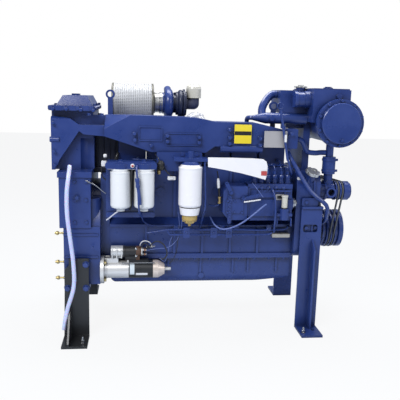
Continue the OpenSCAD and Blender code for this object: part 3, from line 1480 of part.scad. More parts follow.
// Six injection pipes from the delivery valves to the injectors in the heads
pipe_r = 3.5;
pipe_nut_r = 9;
pipe_nut_h = 18;
pipe_lane = 10;
injector_x = 30;
injector_z = deck_z+34;
module injection_pipes() {
	color(paint) for (i = each_cyl) {
		top = pump_z1+valve_h*0.8;
		lane_y = pump_y+pump_b+pipe_lane*(1+(i % 3)*0.7);
		lane_z = injector_z-pipe_lane*(i < 3 ? 0 : 2.4);
		swept_tube(smooth([
			[valve_x(i),pump_y,top],
			[valve_x(i),pump_y,top+valve_h*0.5],
			[valve_x(i)-valve_r*0.6,pump_y+valve_r,top+valve_h*0.82],
			[valve_x(i)-valve_r*1.8,lane_y-valve_r*2,top+valve_h*0.76],
			[valve_x(i)-valve_r*2.6,lane_y,lane_z+pipe_lane],
			[(valve_x(i)+cyl_x(i)+injector_x)/2,lane_y,lane_z],
			[cyl_x(i)+injector_x,lane_y,injector_z+pipe_lane*0.2],
			[cyl_x(i)+injector_x,(lane_y+man_back)/2,injector_z],
			[cyl_x(i)+injector_x,-head_w/2,injector_z]],3),pipe_r,6,[1,1,0.3]);
		at(valve_x(i),pump_y,top) rod(pipe_nut_r,pipe_nut_h,$fn = 6);
		at(cyl_x(i)+injector_x,-head_w/2-pipe_nut_h,injector_z) rod_y(pipe_nut_r,pipe_nut_h);
	}
}

// Twin fuel filter head with its canisters, carried by a bracket on the block
fhead_z = crank_z+368;
fhead_h = 45;
fhead_w = 250;
fhead_x0 = block_x0-13;
filter_y = -335;
fhead_half = 34;
back_y = -280;
fplate_t = 10;
fplate_h = 290;
can_share = [0.295,0.755];
nub_r = 21;
nub_h = 15;
module fuel_filters() {
	color(paint) {
		slab_y(fhead_x0,filter_y-fhead_half,fhead_z+seam_h,fhead_w,
			2*fhead_half,fhead_h-seam_h,2*edge);
		box(fhead_x0+fhead_w*0.2,filter_y,fhead_z+fhead_h/2,fhead_w*0.6,back_y-filter_y,fhead_h/2);
		for (s = can_share) at(fhead_x0+fhead_w*s,filter_y,fhead_z)
			rod(can_d*0.46,fhead_h*0.8);
		for (s = can_share) bolt_top(fhead_x0+fhead_w*s,filter_y,fhead_z+fhead_h);
	}
	color(white) for (s = can_share)
		at(fhead_x0+fhead_w*s,filter_y,fhead_z) rotate([180,0,0]) {
			can(can_d/2,can_len);
			up(can_len) rod(nub_r,nub_h);
		}
}
module filter_bracket() {
	w = fhead_w*0.98;
	color(navy) {
		slab_y(fhead_x0,back_y,fhead_z+fhead_h-fplate_h,w,fplate_t,
			fplate_h,2*edge);
		slab_y(fhead_x0,back_y-fplate_t,fhead_z+fhead_h-fplate_h,w,
			fplate_t,fplate_t*2.6,edge);
		for (s = [0.16,0.78]) box(fhead_x0+fhead_w*s,back_y+fplate_t,fhead_z-fhead_h,fhead_h,
			jacket_y-rib_h-back_y-fplate_t,fhead_h);
	}
}

// Water separator: head bar, canister, clear bowl with drain tap
sep_x = row_x-86;
sep_y = -340;
sep_bar_w = 166;
sep_bar_t = 16;
sep_bar_z = crank_z+418;
sep_back_y = -272;
sep_w = 230;
sep_h = 96;
sep_t = 10;
sep_foot_h = 38;
skirt_h = 24;
bowl_h = 46;
bowl_r = 39;
tap_r = 7;
tap_h = 14;
sep_can_z = sep_bar_z-skirt_h;
module water_separator() {
	color(paint) {
		box(sep_x-sep_bar_w/2,sep_y-sep_bar_t,sep_bar_z,sep_bar_w,sep_back_y-sep_y+sep_bar_t,sep_bar_t);
		slab_y(sep_x-sep_w*0.72,sep_back_y,sep_bar_z-sep_h*0.62,
			sep_w,sep_t,sep_h,edge);
		at(sep_x,sep_y,sep_can_z)
			cone(sep_d*0.46,sep_d*0.3,skirt_h);
		at(sep_x,sep_y,sep_bar_z) rod(sep_bar_t,3*sep_bar_t);
		for (s = [-0.22,0.22]) bolt_near(sep_x+sep_bar_w*s,sep_back_y,
			sep_bar_z+sep_h*0.28,bolt_af);
		for (s = [0.2,0.8])
			box(sep_x-sep_w*0.72+sep_w*s,sep_back_y+sep_t,sep_bar_z-sep_h*0.62,sep_h*0.4,
				jacket_y-rib_h-sep_back_y-sep_t,sep_h*0.3);
	}
	color(white) at(sep_x,sep_y,sep_can_z) rotate([180,0,0]) {
		can(sep_d/2,sep_len);
		up(sep_len) cone(sep_d*0.46,sep_d*0.4,sep_foot_h);
	}
}
module separator_bowl() {
	color("#c99a3a") at(sep_x,sep_y,sep_can_z-sep_len-sep_foot_h)
		rotate([180,0,0]) {
			rod(bowl_r,bowl_h*0.55);
			up(bowl_h*0.55) cone(bowl_r,bowl_r*0.55,bowl_h*0.45);
			up(bowl_h) rod(tap_r,tap_h);
			for (a = [0:60:300]) turn(a) at(bowl_r*0.74,0,0) rod(tap_r,bowl_h*0.8);
		}
}

// Fuel pipes along the crankcase with their clips
line_r = 5;
line_y = skirt_y-rib_h-12;
line_z = crank_z+62;
line_gap = 24;
clip_w = 26;
module fuel_line(route,r) { swept_tube(smooth(route,3),r,8,[1,1,0.3]); }
module fuel_pipes() {
	filter2_x = fhead_x0+fhead_w*can_share[1];
	color(paint) {
		fuel_line([[filter2_x-can_d*0.36,filter_y-fhead_half,fhead_z+fhead_h*0.6],
			[filter2_x-can_d*0.36,filter_y-can_d*0.48,fhead_z+fhead_h*0.6],
			[filter2_x-can_d*0.36,filter_y-can_d*0.64,fhead_z+fhead_h*0.2],
			[filter2_x-can_d*0.3,filter_y-can_d*0.66,fhead_z-can_len*0.4],
			[filter2_x-can_d*0.24,filter_y-can_d*0.66,fhead_z-can_len],
			[filter2_x-can_d*0.1,back_y-5*line_r,fhead_z-can_len*1.3],
			[filter2_x,line_y-line_r,line_z+line_gap],
			[filter2_x+can_d*0.5,line_y,line_z],
			[sep_x,line_y,line_z],[pump_x0,line_y,line_z],[feed_x-2.2*feed_r,line_y,line_z],
			[feed_x-1.7*feed_r,line_y-6*line_r,line_z+line_r],
			[feed_x-1.6*feed_r,feed_y,line_z+line_gap],
			[feed_x-1.6*feed_r,feed_y,pump_z0+feed_h*0.12-feed_r*0.42]],line_r);
		fuel_line([[sep_x+sep_d*0.6,sep_y-sep_bar_t*0.5,sep_bar_z],
			[sep_x+sep_d*0.6,sep_y-sep_bar_t*0.5,sep_bar_z-sep_bar_t],
			[sep_x+sep_d*0.66,sep_y-sep_bar_t,sep_bar_z-sep_len],
			[sep_x+sep_d*0.62,sep_y,line_z+4*line_gap],
			[sep_x+sep_d*0.62,line_y-2*line_r,line_z],
			[sep_x+sep_d*0.8,line_y,line_z-line_gap],
			[pump_x0,line_y,line_z-line_gap],[pump_x1-feed_r,line_y,line_z-line_gap],
			[pump_x1+feed_r*0.2,line_y-2*line_r,line_z],
			[feed_x+1.7*feed_r,feed_y,line_z+line_gap],
			[feed_x+1.6*feed_r,feed_y,pump_z0-feed_r*0.4],
			[feed_x+1.6*feed_r,feed_y,pump_z0+feed_h*0.12-feed_r*0.42]],line_r);
		for (x = [sep_x-sep_d*0.6,pump_x0-gov_len*1.1,pump_x0-gov_len*0.5,pump_x0+pump_len/2])
			box(x,line_y-line_r-clamp_t,line_z-line_gap-line_r,clip_w,skirt_y-rib_h-line_y+line_r+clamp_t,
				line_gap+2*line_r);
	}
}

// Oil filler neck and its lobed hand cap
neck_x = block_x1+66;
neck_y = -208;
neck_z = case_z1-66;
neck_tilt = 24;
oil_r = 24;
neck_len = 66;
oil_cap_r = 38;
oil_cap_h = 20;
lobe_count = 6;
module at_oil_neck() {
	at(neck_x,neck_y,neck_z) rotate([neck_tilt,neck_tilt/2,0]) children();
}
module oil_filler_cap() {
	color("#b3aea2") at_oil_neck() up(neck_len+gap) {
		rod(oil_cap_r*0.8,oil_cap_h*0.4);
		difference() {
			up(oil_cap_h*0.2) rod(oil_cap_r,oil_cap_h*0.8);
			for (k = [0:lobe_count-1]) turn((k+0.5)*360/lobe_count)
				at(oil_cap_r*1.08,0,-cut) rod(oil_cap_r*0.26,oil_cap_h*2);
			up(oil_cap_h*0.86) rod(oil_cap_r*0.5,oil_cap_h);
		}
		up(-neck_len*0.3) rod(oil_r*0.7,neck_len*0.4);
	}
}
module oil_neck() {
	at_oil_neck() {
		up(-neck_len*0.2) rod(oil_r,neck_len*1.2);
		rod(oil_r*1.3,neck_len*0.2);
	}
}

// Dipstick with its ring pull, in its guide tube that bends down to the crankcase
dip_r = 3;
tube_r = 6.5;
dip_ring_r = 15;
dip_wire_r = 2.5;
dip_x = man_at(0.953);
dip_y = man_y-26;
dip_z = crank_z+676;
dip_tilt = 11;
dip_len = 250;
dip_foot = [[dip_x+dip_len*0.2,dip_y,dip_z-dip_len*0.994],
	[dip_x+dip_len*0.256,dip_y+tube_r*0.5,dip_z-dip_len*1.16],
	[dip_x+dip_len*0.316,dip_y+tube_r*3,dip_z-dip_len*1.3],
	[dip_x+dip_len*0.35,dip_y+tube_r*11,dip_z-dip_len*1.4],
	[dip_x+dip_len*0.352,jacket_y-tube_r*2,dip_z-dip_len*1.42],
	[dip_x+dip_len*0.352,jacket_y,dip_z-dip_len*1.42]];
dip_lug_z = man_up(0.66);
module along_dip() { at(dip_x,dip_y,dip_z) rotate([0,180-dip_tilt,0]) children(); }
module dipstick() {
	color(steel) along_dip() {
		up(-tube_r/2) rod(dip_r,dip_len*0.98+tube_r/2);
		up(-tube_r) rod(tube_r,tube_r-gap);
		up(-tube_r-dip_ring_r) rotate([90,0,0]) rotate_extrude()
			translate([dip_ring_r,0]) circle(r = dip_wire_r);
	}
}
module dipstick_tube() {
	color(paint) {
		difference() {
			union() {
				along_dip() rod(tube_r,dip_len*1.04);
				box(dip_x+(dip_z-dip_lug_z)*tan(dip_tilt)-tube_r*1.4,dip_y,dip_lug_z,tube_r*3,man_y-dip_y,tube_r*2);
			}
			along_dip() up(-cut) rod(dip_r+run_fit,dip_len+cut);
		}
		swept_tube(smooth(dip_foot,3),tube_r*0.9,10,[1,0,0]);
	}
}

// Transport legs: plates with a foot plate and a gusset
front_x0 = block_x1+28;
front_h = crank_z+176;
front_tab_h = 44;
slot_w = 88;
slot_h = 42;
slot_z = crank_z+56;
gusset_top_share = 0.72;
rear_top = crank_z-84;
rear_gusset_h = 204;
foot_hole_r = 9;
module foot_plate(x0,w,y) {
	at(x0,y-foot_depth,0) difference() {
		cube([w,foot_depth,plate_t]);
		at(w*0.72,foot_depth*0.5,-cut) rod(foot_hole_r,plate_t+2*cut);
	}
}
module rear_leg() {
	slant = rear_w*0.16;
	at(bell_x0,leg_pad_y,0) {
		plate_y(plate_t)
			polygon([[0,0],[rear_w,0],[rear_w,rear_top],[1.4*slant,rear_top],
				[1.4*slant,rear_top-1.8*slant],[slant*0.4,rear_top-2.8*slant]]);
		foot_plate(0,rear_w,0);
		at(rear_w*0.22,-plate_t,plate_t) rotate([90,0,90]) linear_extrude(plate_t*0.8)
			polygon([[0,0],[-foot_depth+plate_t,0],[-foot_depth+plate_t,plate_t],[0,rear_gusset_h]]);
	}
	for (p = pad_share)
		bolt_near(bell_x0+bell_len*p[0],leg_pad_y-plate_t,
			pad_low_z+p[1]*(pad_high_z-pad_low_z),bolt_af*1.2);
}
module front_leg() {
	at(front_x0,case_y-case_lip,0) {
		difference() {
			box(0,-plate_t,0,front_w,plate_t,front_h);
			slab_y(front_w*0.12,-plate_t-cut,slot_z-slot_h/2,slot_w*0.9,
				plate_t+2*cut,slot_h,slot_h*0.3);
		}
		box(0,-2*plate_t,front_h-plate_t,front_w,2*plate_t,plate_t);
		slab_y(0,-plate_t,front_h,front_w*0.76,plate_t,front_tab_h,edge);
		foot_plate(0,front_w,0);
		at(front_w*0.56,-plate_t,plate_t) rotate([90,0,90]) linear_extrude(plate_t*0.8)
			polygon([[0,0],[-foot_depth*0.36,0],[-foot_depth*0.36,front_h*gusset_top_share*0.9],
				[0,front_h*gusset_top_share]]);
	}
	for (p = [[0.3,0],[0.76,case_wall_t*0.4]])
		bolt_near(front_x0+front_w*p[0],case_y+p[1]-cut,slot_z,bolt_af);
	bolt_near(front_x0+front_w*0.2,case_y-case_lip-plate_t,front_h+front_tab_h/2,bolt_af);
}
module legs() {
	for (side = [0,1]) mirror([0,side,0]) {
		color(black) rear_leg();
		color(paint) front_leg();
	}
}

// Drain hose down the rear leg, real places in millimetres
drain_r = 11;
drain_sides = 10;
drain_route = [[-697,-305,888],[-697,-322,872],[-700,-345,835],[-706,-356,780],[-708,-360,720],
	[-706,-362,650],[-699,-362,580],[-691,-362,510],[-683,-362,440],[-679,-362,380],[-678,-362,320],
	[-684,-364,270],[-697,-368,225],[-711,-372,180],[-722,-376,130],[-730,-380,70]];
module drain_hose() {
	color("#c3c4ec") swept_tube(smooth(drain_route,2),drain_r,drain_sides,[1,1,0]);
}

// Plain paper sleeve leaning across the injection pump
sleeve_x0 = sep_x+sep_bar_w/2;
sleeve_w = 250;
sleeve_y = -352;
sleeve_z = crank_z+446;
sleeve_t = 2;
module document_sleeve() {
	color(white) at(sleeve_x0,sleeve_y,0) plate_y(sleeve_t)
		polygon([[0,sleeve_z-sleeve_w*0.2],[0,sleeve_z],[sleeve_w*0.9,sleeve_z-sleeve_w*0.03],
			[sleeve_w*0.97,sleeve_z-sleeve_w*0.07],[sleeve_w,sleeve_z-sleeve_w*0.2],
			[sleeve_w*0.96,sleeve_z-sleeve_w*0.44],[sleeve_w*0.6,sleeve_z-sleeve_w*0.33]]);
}

cylinder_block();
main_bearing_caps();
cylinder_liners();
oil_pan();
cylinder_heads();
rocker_covers();
crankshaft();
flywheel();
crank_pulley();
camshaft();
pistons_outer();
pistons_middle();
pistons_inner();
flywheel_housing();
rear_pedestal();
front_gear_case();
gear_case_cover();
crankcase_side_cover();
starter_motor();
starter_solenoid();
starter_pinion();
sea_water_pump();
sea_pump_pulley();
alternator();
alternator_pulley();
v_belts();
intake_manifold();
intercooler();
intercooler_cover();
exhaust_manifold();
air_filter();
air_intake_neck();
turbocharger();
turbo_rotor();
exhaust_elbow();
exhaust_cap();
heat_exchanger();
heat_exchanger_covers();
header_tank();
filler_cap();
coolant_pipes();
pump_hose();
return_hose();
injection_pump();
pump_coupling();
throttle_lever();
stop_lever();
hand_primer();
injection_pipes();
fuel_filters();
filter_bracket();
water_separator();
separator_bowl();
fuel_pipes();
oil_filler_cap();
dipstick();
dipstick_tube();
legs();
drain_hose();
document_sleeve();
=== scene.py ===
import math

import bmesh
import bpy
from mathutils import Matrix, Vector


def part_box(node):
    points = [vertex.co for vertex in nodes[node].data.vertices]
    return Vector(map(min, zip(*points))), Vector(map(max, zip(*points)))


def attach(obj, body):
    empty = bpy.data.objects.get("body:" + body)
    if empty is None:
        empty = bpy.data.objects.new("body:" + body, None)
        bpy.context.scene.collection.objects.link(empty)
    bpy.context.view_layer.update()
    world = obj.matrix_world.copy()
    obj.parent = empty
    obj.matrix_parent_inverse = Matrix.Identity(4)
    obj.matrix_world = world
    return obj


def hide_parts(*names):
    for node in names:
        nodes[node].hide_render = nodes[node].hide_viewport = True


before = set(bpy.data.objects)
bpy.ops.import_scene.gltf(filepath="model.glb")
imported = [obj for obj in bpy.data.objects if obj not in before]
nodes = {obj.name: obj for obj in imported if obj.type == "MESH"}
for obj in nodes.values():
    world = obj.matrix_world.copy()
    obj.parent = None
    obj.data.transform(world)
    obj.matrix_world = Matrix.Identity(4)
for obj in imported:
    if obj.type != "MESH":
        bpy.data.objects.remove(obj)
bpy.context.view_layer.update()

# Camera.
# A hand-held lens at chest height, a little to the left of the middle,
# turned to the right and tipped down at the engine.
CAMERA_PLACE = Vector((-0.372, -3.080, 1.250))
TURN, TIP, ROLL = (math.radians(degrees) for degrees in (6.6, 10.7, 1.5))
LENS_LENGTH = 50.4
SENSOR_WIDTH = 36
ahead = Vector((math.sin(TURN) * math.cos(TIP), math.cos(TURN) * math.cos(TIP), -math.sin(TIP)))
side = Vector((math.cos(TURN), -math.sin(TURN), 0))
above = side.cross(ahead)
right = side * math.cos(ROLL) + above * math.sin(ROLL)
upward = above * math.cos(ROLL) - side * math.sin(ROLL)
camera_data = bpy.data.cameras.new("camera")
camera_data.lens = LENS_LENGTH
camera_data.sensor_width = SENSOR_WIDTH
camera = bpy.data.objects.new("camera", camera_data)
camera.matrix_world = Matrix((
    (right.x, upward.x, -ahead.x, CAMERA_PLACE.x),
    (right.y, upward.y, -ahead.y, CAMERA_PLACE.y),
    (right.z, upward.z, -ahead.z, CAMERA_PLACE.z),
    (0, 0, 0, 1)))
bpy.context.scene.collection.objects.link(camera)
bpy.context.scene.camera = camera
bpy.context.scene.view_settings.view_transform = "Standard"

# Floor and light.
# A pale studio floor that runs into a white backdrop, one broad lamp over
# the camera's left shoulder, a weaker one on the right and one from above.
FLOOR_REACH = 14
FLOOR_MATT = (0.56, 0.62, 0.70, 1)
FLOOR_GLOW = 0.9
SKY_SOFT = (0.80, 0.87, 1.0, 1)
SKY_STRENGTH = 0.40
WHITE = (1, 1, 1, 1)


def wire(tree, kind, inputs=(), **settings):
    """Adds one shader node; inputs maps a socket to a value or to another node's output."""
    node = tree.nodes.new("ShaderNode" + kind)
    for key, value in settings.items():
        setattr(node, key, value)
    for key, value in dict(inputs).items():
        if isinstance(value, bpy.types.NodeSocket):
            tree.links.new(value, node.inputs[key])
        else:
            node.inputs[key].default_value = value
    return node


def new_object(name, data):
    """An object at the origin, linked to the scene."""
    thing = bpy.data.objects.new(name, data)
    bpy.context.scene.collection.objects.link(thing)
    return thing


floor_shape = bmesh.new()
bmesh.ops.create_grid(floor_shape, x_segments=1, y_segments=1, size=FLOOR_REACH)
floor_mesh = bpy.data.meshes.new("studio_floor")
floor_shape.to_mesh(floor_mesh)
floor_shape.free()
floor = new_object("studio_floor", floor_mesh)
floor_paint = bpy.data.materials.new("pale_floor")
floor_paint.use_nodes = True
tree = floor_paint.node_tree
tree.nodes.clear()
seen = wire(tree, "LightPath")
matt = wire(tree, "BsdfDiffuse", {"Color": FLOOR_MATT})
glow = wire(tree, "Emission", {"Color": WHITE, "Strength": 1.0})
share = wire(tree, "Math", {0: seen.outputs["Is Camera Ray"], 1: FLOOR_GLOW}, operation="MULTIPLY")
mixed = wire(tree, "MixShader", {0: share.outputs[0], 1: matt.outputs[0], 2: glow.outputs[0]})
wire(tree, "OutputMaterial", {"Surface": mixed.outputs[0]})
floor_mesh.materials.append(floor_paint)

world = bpy.data.worlds.new("studio")
bpy.context.scene.world = world
world.use_nodes = True
tree = world.node_tree
tree.nodes.clear()
seen = wire(tree, "LightPath")
clear_view = wire(tree, "Math", {0: seen.outputs["Is Camera Ray"], 1: seen.outputs["Is Transmission Ray"]},
                  operation="MAXIMUM")
soft = wire(tree, "Background", {"Color": SKY_SOFT, "Strength": SKY_STRENGTH})
white = wire(tree, "Background", {"Color": WHITE, "Strength": 1.0})
mixed = wire(tree, "MixShader", {0: clear_view.outputs[0], 1: soft.outputs[0], 2: white.outputs[0]})
wire(tree, "OutputWorld", {"Surface": mixed.outputs[0]})


def lamp(name, place, aim, size, power):
    """A soft rectangular lamp; place, aim and size in metres, power in watts."""
    light = bpy.data.lights.new(name, "AREA")
    light.shape = "RECTANGLE"
    light.size, light.size_y = size
    light.energy = power
    thing = new_object(name, light)
    thing.location = place
    thing.rotation_euler = (Vector(aim) - Vector(place)).to_track_quat("-Z", "Y").to_euler()


lamp("key_lamp", (-2.2, -3.2, 3.6), (-0.1, 0, 0.7), (2.4, 1.4), 150)
lamp("fill_lamp", (3.2, -2.4, 2.2), (0.2, 0, 0.7), (1.6, 1.6), 32)
lamp("top_lamp", (0.2, 0.6, 3.6), (0, 0, 0.9), (3.0, 1.2), 105)

# Drain hose.
# Clear lavender PVC hose pushed on the spigot under the charge cooler. It
# hangs down past the rear leg and its bare end stays just above the floor.
DRAIN_ROUTE = [
    (-697, -305, 888), (-697, -322, 872), (-700, -345, 835), (-706, -356, 780), (-708, -360, 720),
    (-706, -362, 650), (-699, -362, 580), (-691, -362, 510), (-683, -362, 440), (-679, -362, 380),
    (-678, -362, 320), (-684, -364, 270), (-697, -368, 225), (-711, -372, 180), (-722, -376, 130),
    (-730, -380, 70)]
DRAIN_RADIUS = 0.0105
DRAIN_STEPS = 4
DRAIN_SIDES = 24


def smooth_route(points, steps):
    """Points of a curve through the given ones, in metres from millimetres."""
    spots = [Vector(point) / 1000 for point in points]
    padded = [spots[0], *spots, spots[-1]]
    path = []
    for before, start, end, after in zip(padded, padded[1:], padded[2:], padded[3:]):
        for step in range(steps):
            t = step / steps
            path.append(0.5 * (2 * start + (end - before) * t
                               + (2 * before - 5 * start + 4 * end - after) * t * t
                               + (3 * start - before - 3 * end + after) * t ** 3))
    return path + [spots[-1]]


def tube(name, path, radius, sides):
    """A round tube swept along a path in metres, as a mesh with closed ends; sides in fours."""
    curve = bpy.data.curves.new(name, "CURVE")
    curve.dimensions = "3D"
    curve.bevel_depth = radius
    curve.bevel_resolution = sides // 4 - 1
    curve.use_fill_caps = True
    line = curve.splines.new("POLY")
    line.points.add(len(path) - 1)
    for spot, point in zip(line.points, path):
        spot.co = (*point, 1)
    thing = new_object(name, curve)
    mesh = bpy.data.meshes.new_from_object(thing)
    bpy.data.objects.remove(thing)
    for face in mesh.polygons:
        face.use_smooth = True
    return new_object(name, mesh)


def finish_of(name, color, roughness, **sockets):
    """A material, its tree and its Principled node, with the plain sockets set."""
    paint = bpy.data.materials.new(name)
    paint.use_nodes = True
    principled = paint.node_tree.nodes["Principled BSDF"]
    principled.inputs["Base Color"].default_value = (*color, 1)
    principled.inputs["Roughness"].default_value = roughness
    for key, value in sockets.items():
        principled.inputs[key.replace("_", " ")].default_value = value
    return paint, paint.node_tree, principled


def group_of(name, floats, outs):
    """A shader node group with float inputs and named outputs."""
    group = bpy.data.node_groups.new(name, "ShaderNodeTree")
    for label, value in floats.items():
        socket = group.interface.new_socket(label, in_out="INPUT", socket_type="NodeSocketFloat")
        socket.default_value = value
    for label, kind in outs.items():
        group.interface.new_socket(label, in_out="OUTPUT", socket_type="NodeSocket" + kind)
    return group, group.nodes.new("NodeGroupInput").outputs, group.nodes.new("NodeGroupOutput").inputs


# Mottle: a soft patchy mask and a fine grain height, both by Object place.
mottle, ins, outs = group_of("mottle", {"Patch Scale": 6, "Grain Scale": 300},
                             {"Patches": "Float", "Grain": "Float"})
place = wire(mottle, "TexCoord").outputs["Object"]
patches = wire(mottle, "TexNoise", {"Vector": place, "Scale": ins["Patch Scale"], "Detail": 4,
                                    "Roughness": 0.6})
grain = wire(mottle, "TexNoise", {"Vector": place, "Scale": ins["Grain Scale"], "Detail": 3,
                                  "Roughness": 0.55})
mottle.links.new(patches.outputs["Fac"], outs["Patches"])
mottle.links.new(grain.outputs["Fac"], outs["Grain"])

# Edges: one mask for outer edges, where a painted highlight goes, one for hollows and corners, where painted
# shade goes, and a softened normal.
HOLLOW_REACH = 0.07
edges, ins, outs = group_of("edges", {"Width": 0.002},
                            {"Outer": "Float", "Hollow": "Float", "Rounded": "Vector"})
rounded = wire(edges, "Bevel", {"Radius": ins["Width"]}, samples=4)
flat = wire(edges, "NewGeometry").outputs["Normal"]
bent = wire(edges, "VectorMath", {0: rounded.outputs[0], 1: flat}, operation="DOT_PRODUCT")
outer = wire(edges, "MapRange", {"Value": bent.outputs["Value"], "From Min": 0.99, "From Max": 0.80,
                                 "To Min": 0.0, "To Max": 1.0})
closed = wire(edges, "AmbientOcclusion", {"Distance": HOLLOW_REACH}, samples=6)
hollow = wire(edges, "MapRange", {"Value": closed.outputs["AO"], "From Min": 0.25, "From Max": 0.85,
                                  "To Min": 1.0, "To Max": 0.0})
edges.links.new(outer.outputs[0], outs["Outer"])
edges.links.new(hollow.outputs[0], outs["Hollow"])
edges.links.new(rounded.outputs[0], outs["Rounded"])


def grouped(tree, group, **values):
    """The outputs of a node group added to a tree, with its inputs set."""
    node = tree.nodes.new("ShaderNodeGroup")
    node.node_tree = group
    for key, value in values.items():
        node.inputs[key.replace("_", " ")].default_value = value
    return node.outputs


WORN_SHARE = 0.35
# HOLLOW_DARK: how dark the painted shade in hollows gets, as a share of the colour.
HOLLOW_DARK = 0.22
GRAIN_HEIGHT = 0.0006


def layered(name, color, worn_and_edge_highlight, roughness, spread=0.12, bump=0.15, patch=6, grain=300, edge=0.25,
            edge_width=0.0018, shade=0.8, **sockets):
    """A finish of two tones: patchy colour, lighter outer edges as a painted highlight, hollows darkened as
    painted shade, uneven gloss and a fine grain.
    """
    paint, tree, principled = finish_of(name, color, roughness, **sockets)
    spots = grouped(tree, mottle, Patch_Scale=patch, Grain_Scale=grain)
    rim = grouped(tree, edges, Width=edge_width)
    amount = wire(tree, "MapRange", {"Value": spots["Patches"], "From Min": 0.35, "From Max": 0.7,
                                     "To Min": 0.0, "To Max": WORN_SHARE})
    # Painted highlight: outer edges are mixed towards the lighter tone, on top of its random patches.
    more = wire(tree, "Math", {0: rim["Outer"], 1: edge, 2: amount.outputs[0]}, operation="MULTIPLY_ADD",
                use_clamp=True)
    tone = wire(tree, "Mix", {"Factor": more.outputs[0], "A": (*color, 1), "B": (*worn_and_edge_highlight, 1)},
                data_type="RGBA")
    # Painted shade: hollows and corners that ambient occlusion finds are darkened towards HOLLOW_DARK of the
    # colour.
    painted_hollow_shade = wire(tree, "Math", {0: rim["Hollow"], 1: shade}, operation="MULTIPLY", use_clamp=True)
    deep = wire(tree, "Mix", {"Factor": painted_hollow_shade.outputs[0], "A": tone.outputs["Result"],
                              "B": (*[c * HOLLOW_DARK for c in color], 1)}, data_type="RGBA")
    tree.links.new(deep.outputs["Result"], principled.inputs["Base Color"])
    uneven = wire(tree, "MapRange", {"Value": spots["Patches"], "From Min": 0.3, "From Max": 0.7,
                                     "To Min": roughness - spread / 2, "To Max": roughness + spread / 2})
    tree.links.new(uneven.outputs[0], principled.inputs["Roughness"])
    relief = wire(tree, "Bump", {"Height": spots["Grain"], "Strength": bump, "Distance": GRAIN_HEIGHT,
                                 "Normal": rim["Rounded"]})
    tree.links.new(relief.outputs[0], principled.inputs["Normal"])
    return paint


hose_pvc = layered("lavender_pvc", (0.58, 0.62, 0.92), (0.76, 0.79, 0.98), 0.24, bump=0.04, patch=22,
                   grain=90, edge=0.0, Subsurface_Weight=0.25, Coat_Weight=0.3)
drain_path = smooth_route(DRAIN_ROUTE, DRAIN_STEPS)
drain = tube("drain_hose_pvc", drain_path, DRAIN_RADIUS, DRAIN_SIDES)
drain.data.materials.append(hose_pvc)
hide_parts("drain_hose")
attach(drain, "engine")

# Painted castings.
# The block, heads, covers, housings and manifolds are grey iron and aluminium
# castings, sprayed together in one gloss blue enamel after assembly.
BLUE = (0.016, 0.040, 0.190)
# The lighter tones go on random patches and, as a painted highlight, on outer edges.
BLUE_WORN_AND_HIGHLIGHT = (0.045, 0.085, 0.31)
CAST_WORN_AND_HIGHLIGHT = (0.036, 0.070, 0.28)


def dress(finish, *names):
    """Gives whole CAD nodes one finish."""
    for name in names:
        for slot in nodes[name].material_slots:
            slot.material = finish


blue_enamel = layered("blue_enamel", BLUE, BLUE_WORN_AND_HIGHLIGHT, 0.28, spread=0.16, bump=0.22, patch=7,
                      grain=420, edge=0.45, Coat_Weight=0.2, Coat_Roughness=0.12)
blue_cast = layered("blue_cast", BLUE, CAST_WORN_AND_HIGHLIGHT, 0.34, spread=0.2, bump=0.5, patch=9,
                    grain=260, edge=0.4, Coat_Weight=0.15, Coat_Roughness=0.2)
dress(blue_cast, "cylinder_block", "cylinder_heads", "flywheel_housing", "front_gear_case",
      "intercooler", "intake_manifold", "exhaust_manifold", "injection_pump", "sea_water_pump",
      "rear_pedestal", "header_tank", "heat_exchanger")
dress(blue_enamel, "oil_pan", "rocker_covers", "gear_case_cover", "crankcase_side_cover",
      "intercooler_cover", "heat_exchanger_covers", "coolant_pipes", "fuel_pipes", "injection_pipes",
      "filter_bracket", "crank_pulley", "sea_pump_pulley", "dipstick_tube", "return_hose",
      "pump_hose", "stop_lever", "throttle_lever")

# Manifold screws.
# Hexagon screws with washers on the near face of the intake manifold, painted
# over with the casting.
NEAR, UP, FRONT, REAR = (0, -1, 0), (0, 0, 1), (1, 0, 0), (-1, 0, 0)
MANIFOLD_FACE = -264
MANIFOLD_SCREWS = [(-383, 1048), (-381, 1016), (-219, 1040), (-218, 1012), (-58, 1036), (-58, 1008),
                   (96, 1076), (98, 1036), (98, 1006), (256, 1034), (256, 1000), (-300, 990), (420, 1060)]
WASHER_FOOT, WASHER_TOP, WASHER_HIGH = 0.74, 0.70, 0.16
HEAD_HIGH, HEAD_MIDDLE, HEAD_ROUND = 0.55, 0.43, 0.05


def finished(name, shape, *finishes, smooth=False):
    """Makes a bmesh a piece of the engine with its finishes."""
    mesh = bpy.data.meshes.new(name)
    shape.to_mesh(mesh)
    shape.free()
    for finish in finishes:
        mesh.materials.append(finish)
    for face in mesh.polygons:
        face.use_smooth = smooth
    piece = new_object(name, mesh)
    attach(piece, "engine")
    return piece


def facing(out):
    """The turn that brings +Z to the way a piece faces."""
    return Vector(out).to_track_quat("Z", "Y").to_matrix().to_4x4()


def edges_of(verts):
    """The edges that meet some vertices, each once and in a fixed order."""
    return list(dict.fromkeys(edge for vert in verts for edge in vert.link_edges))


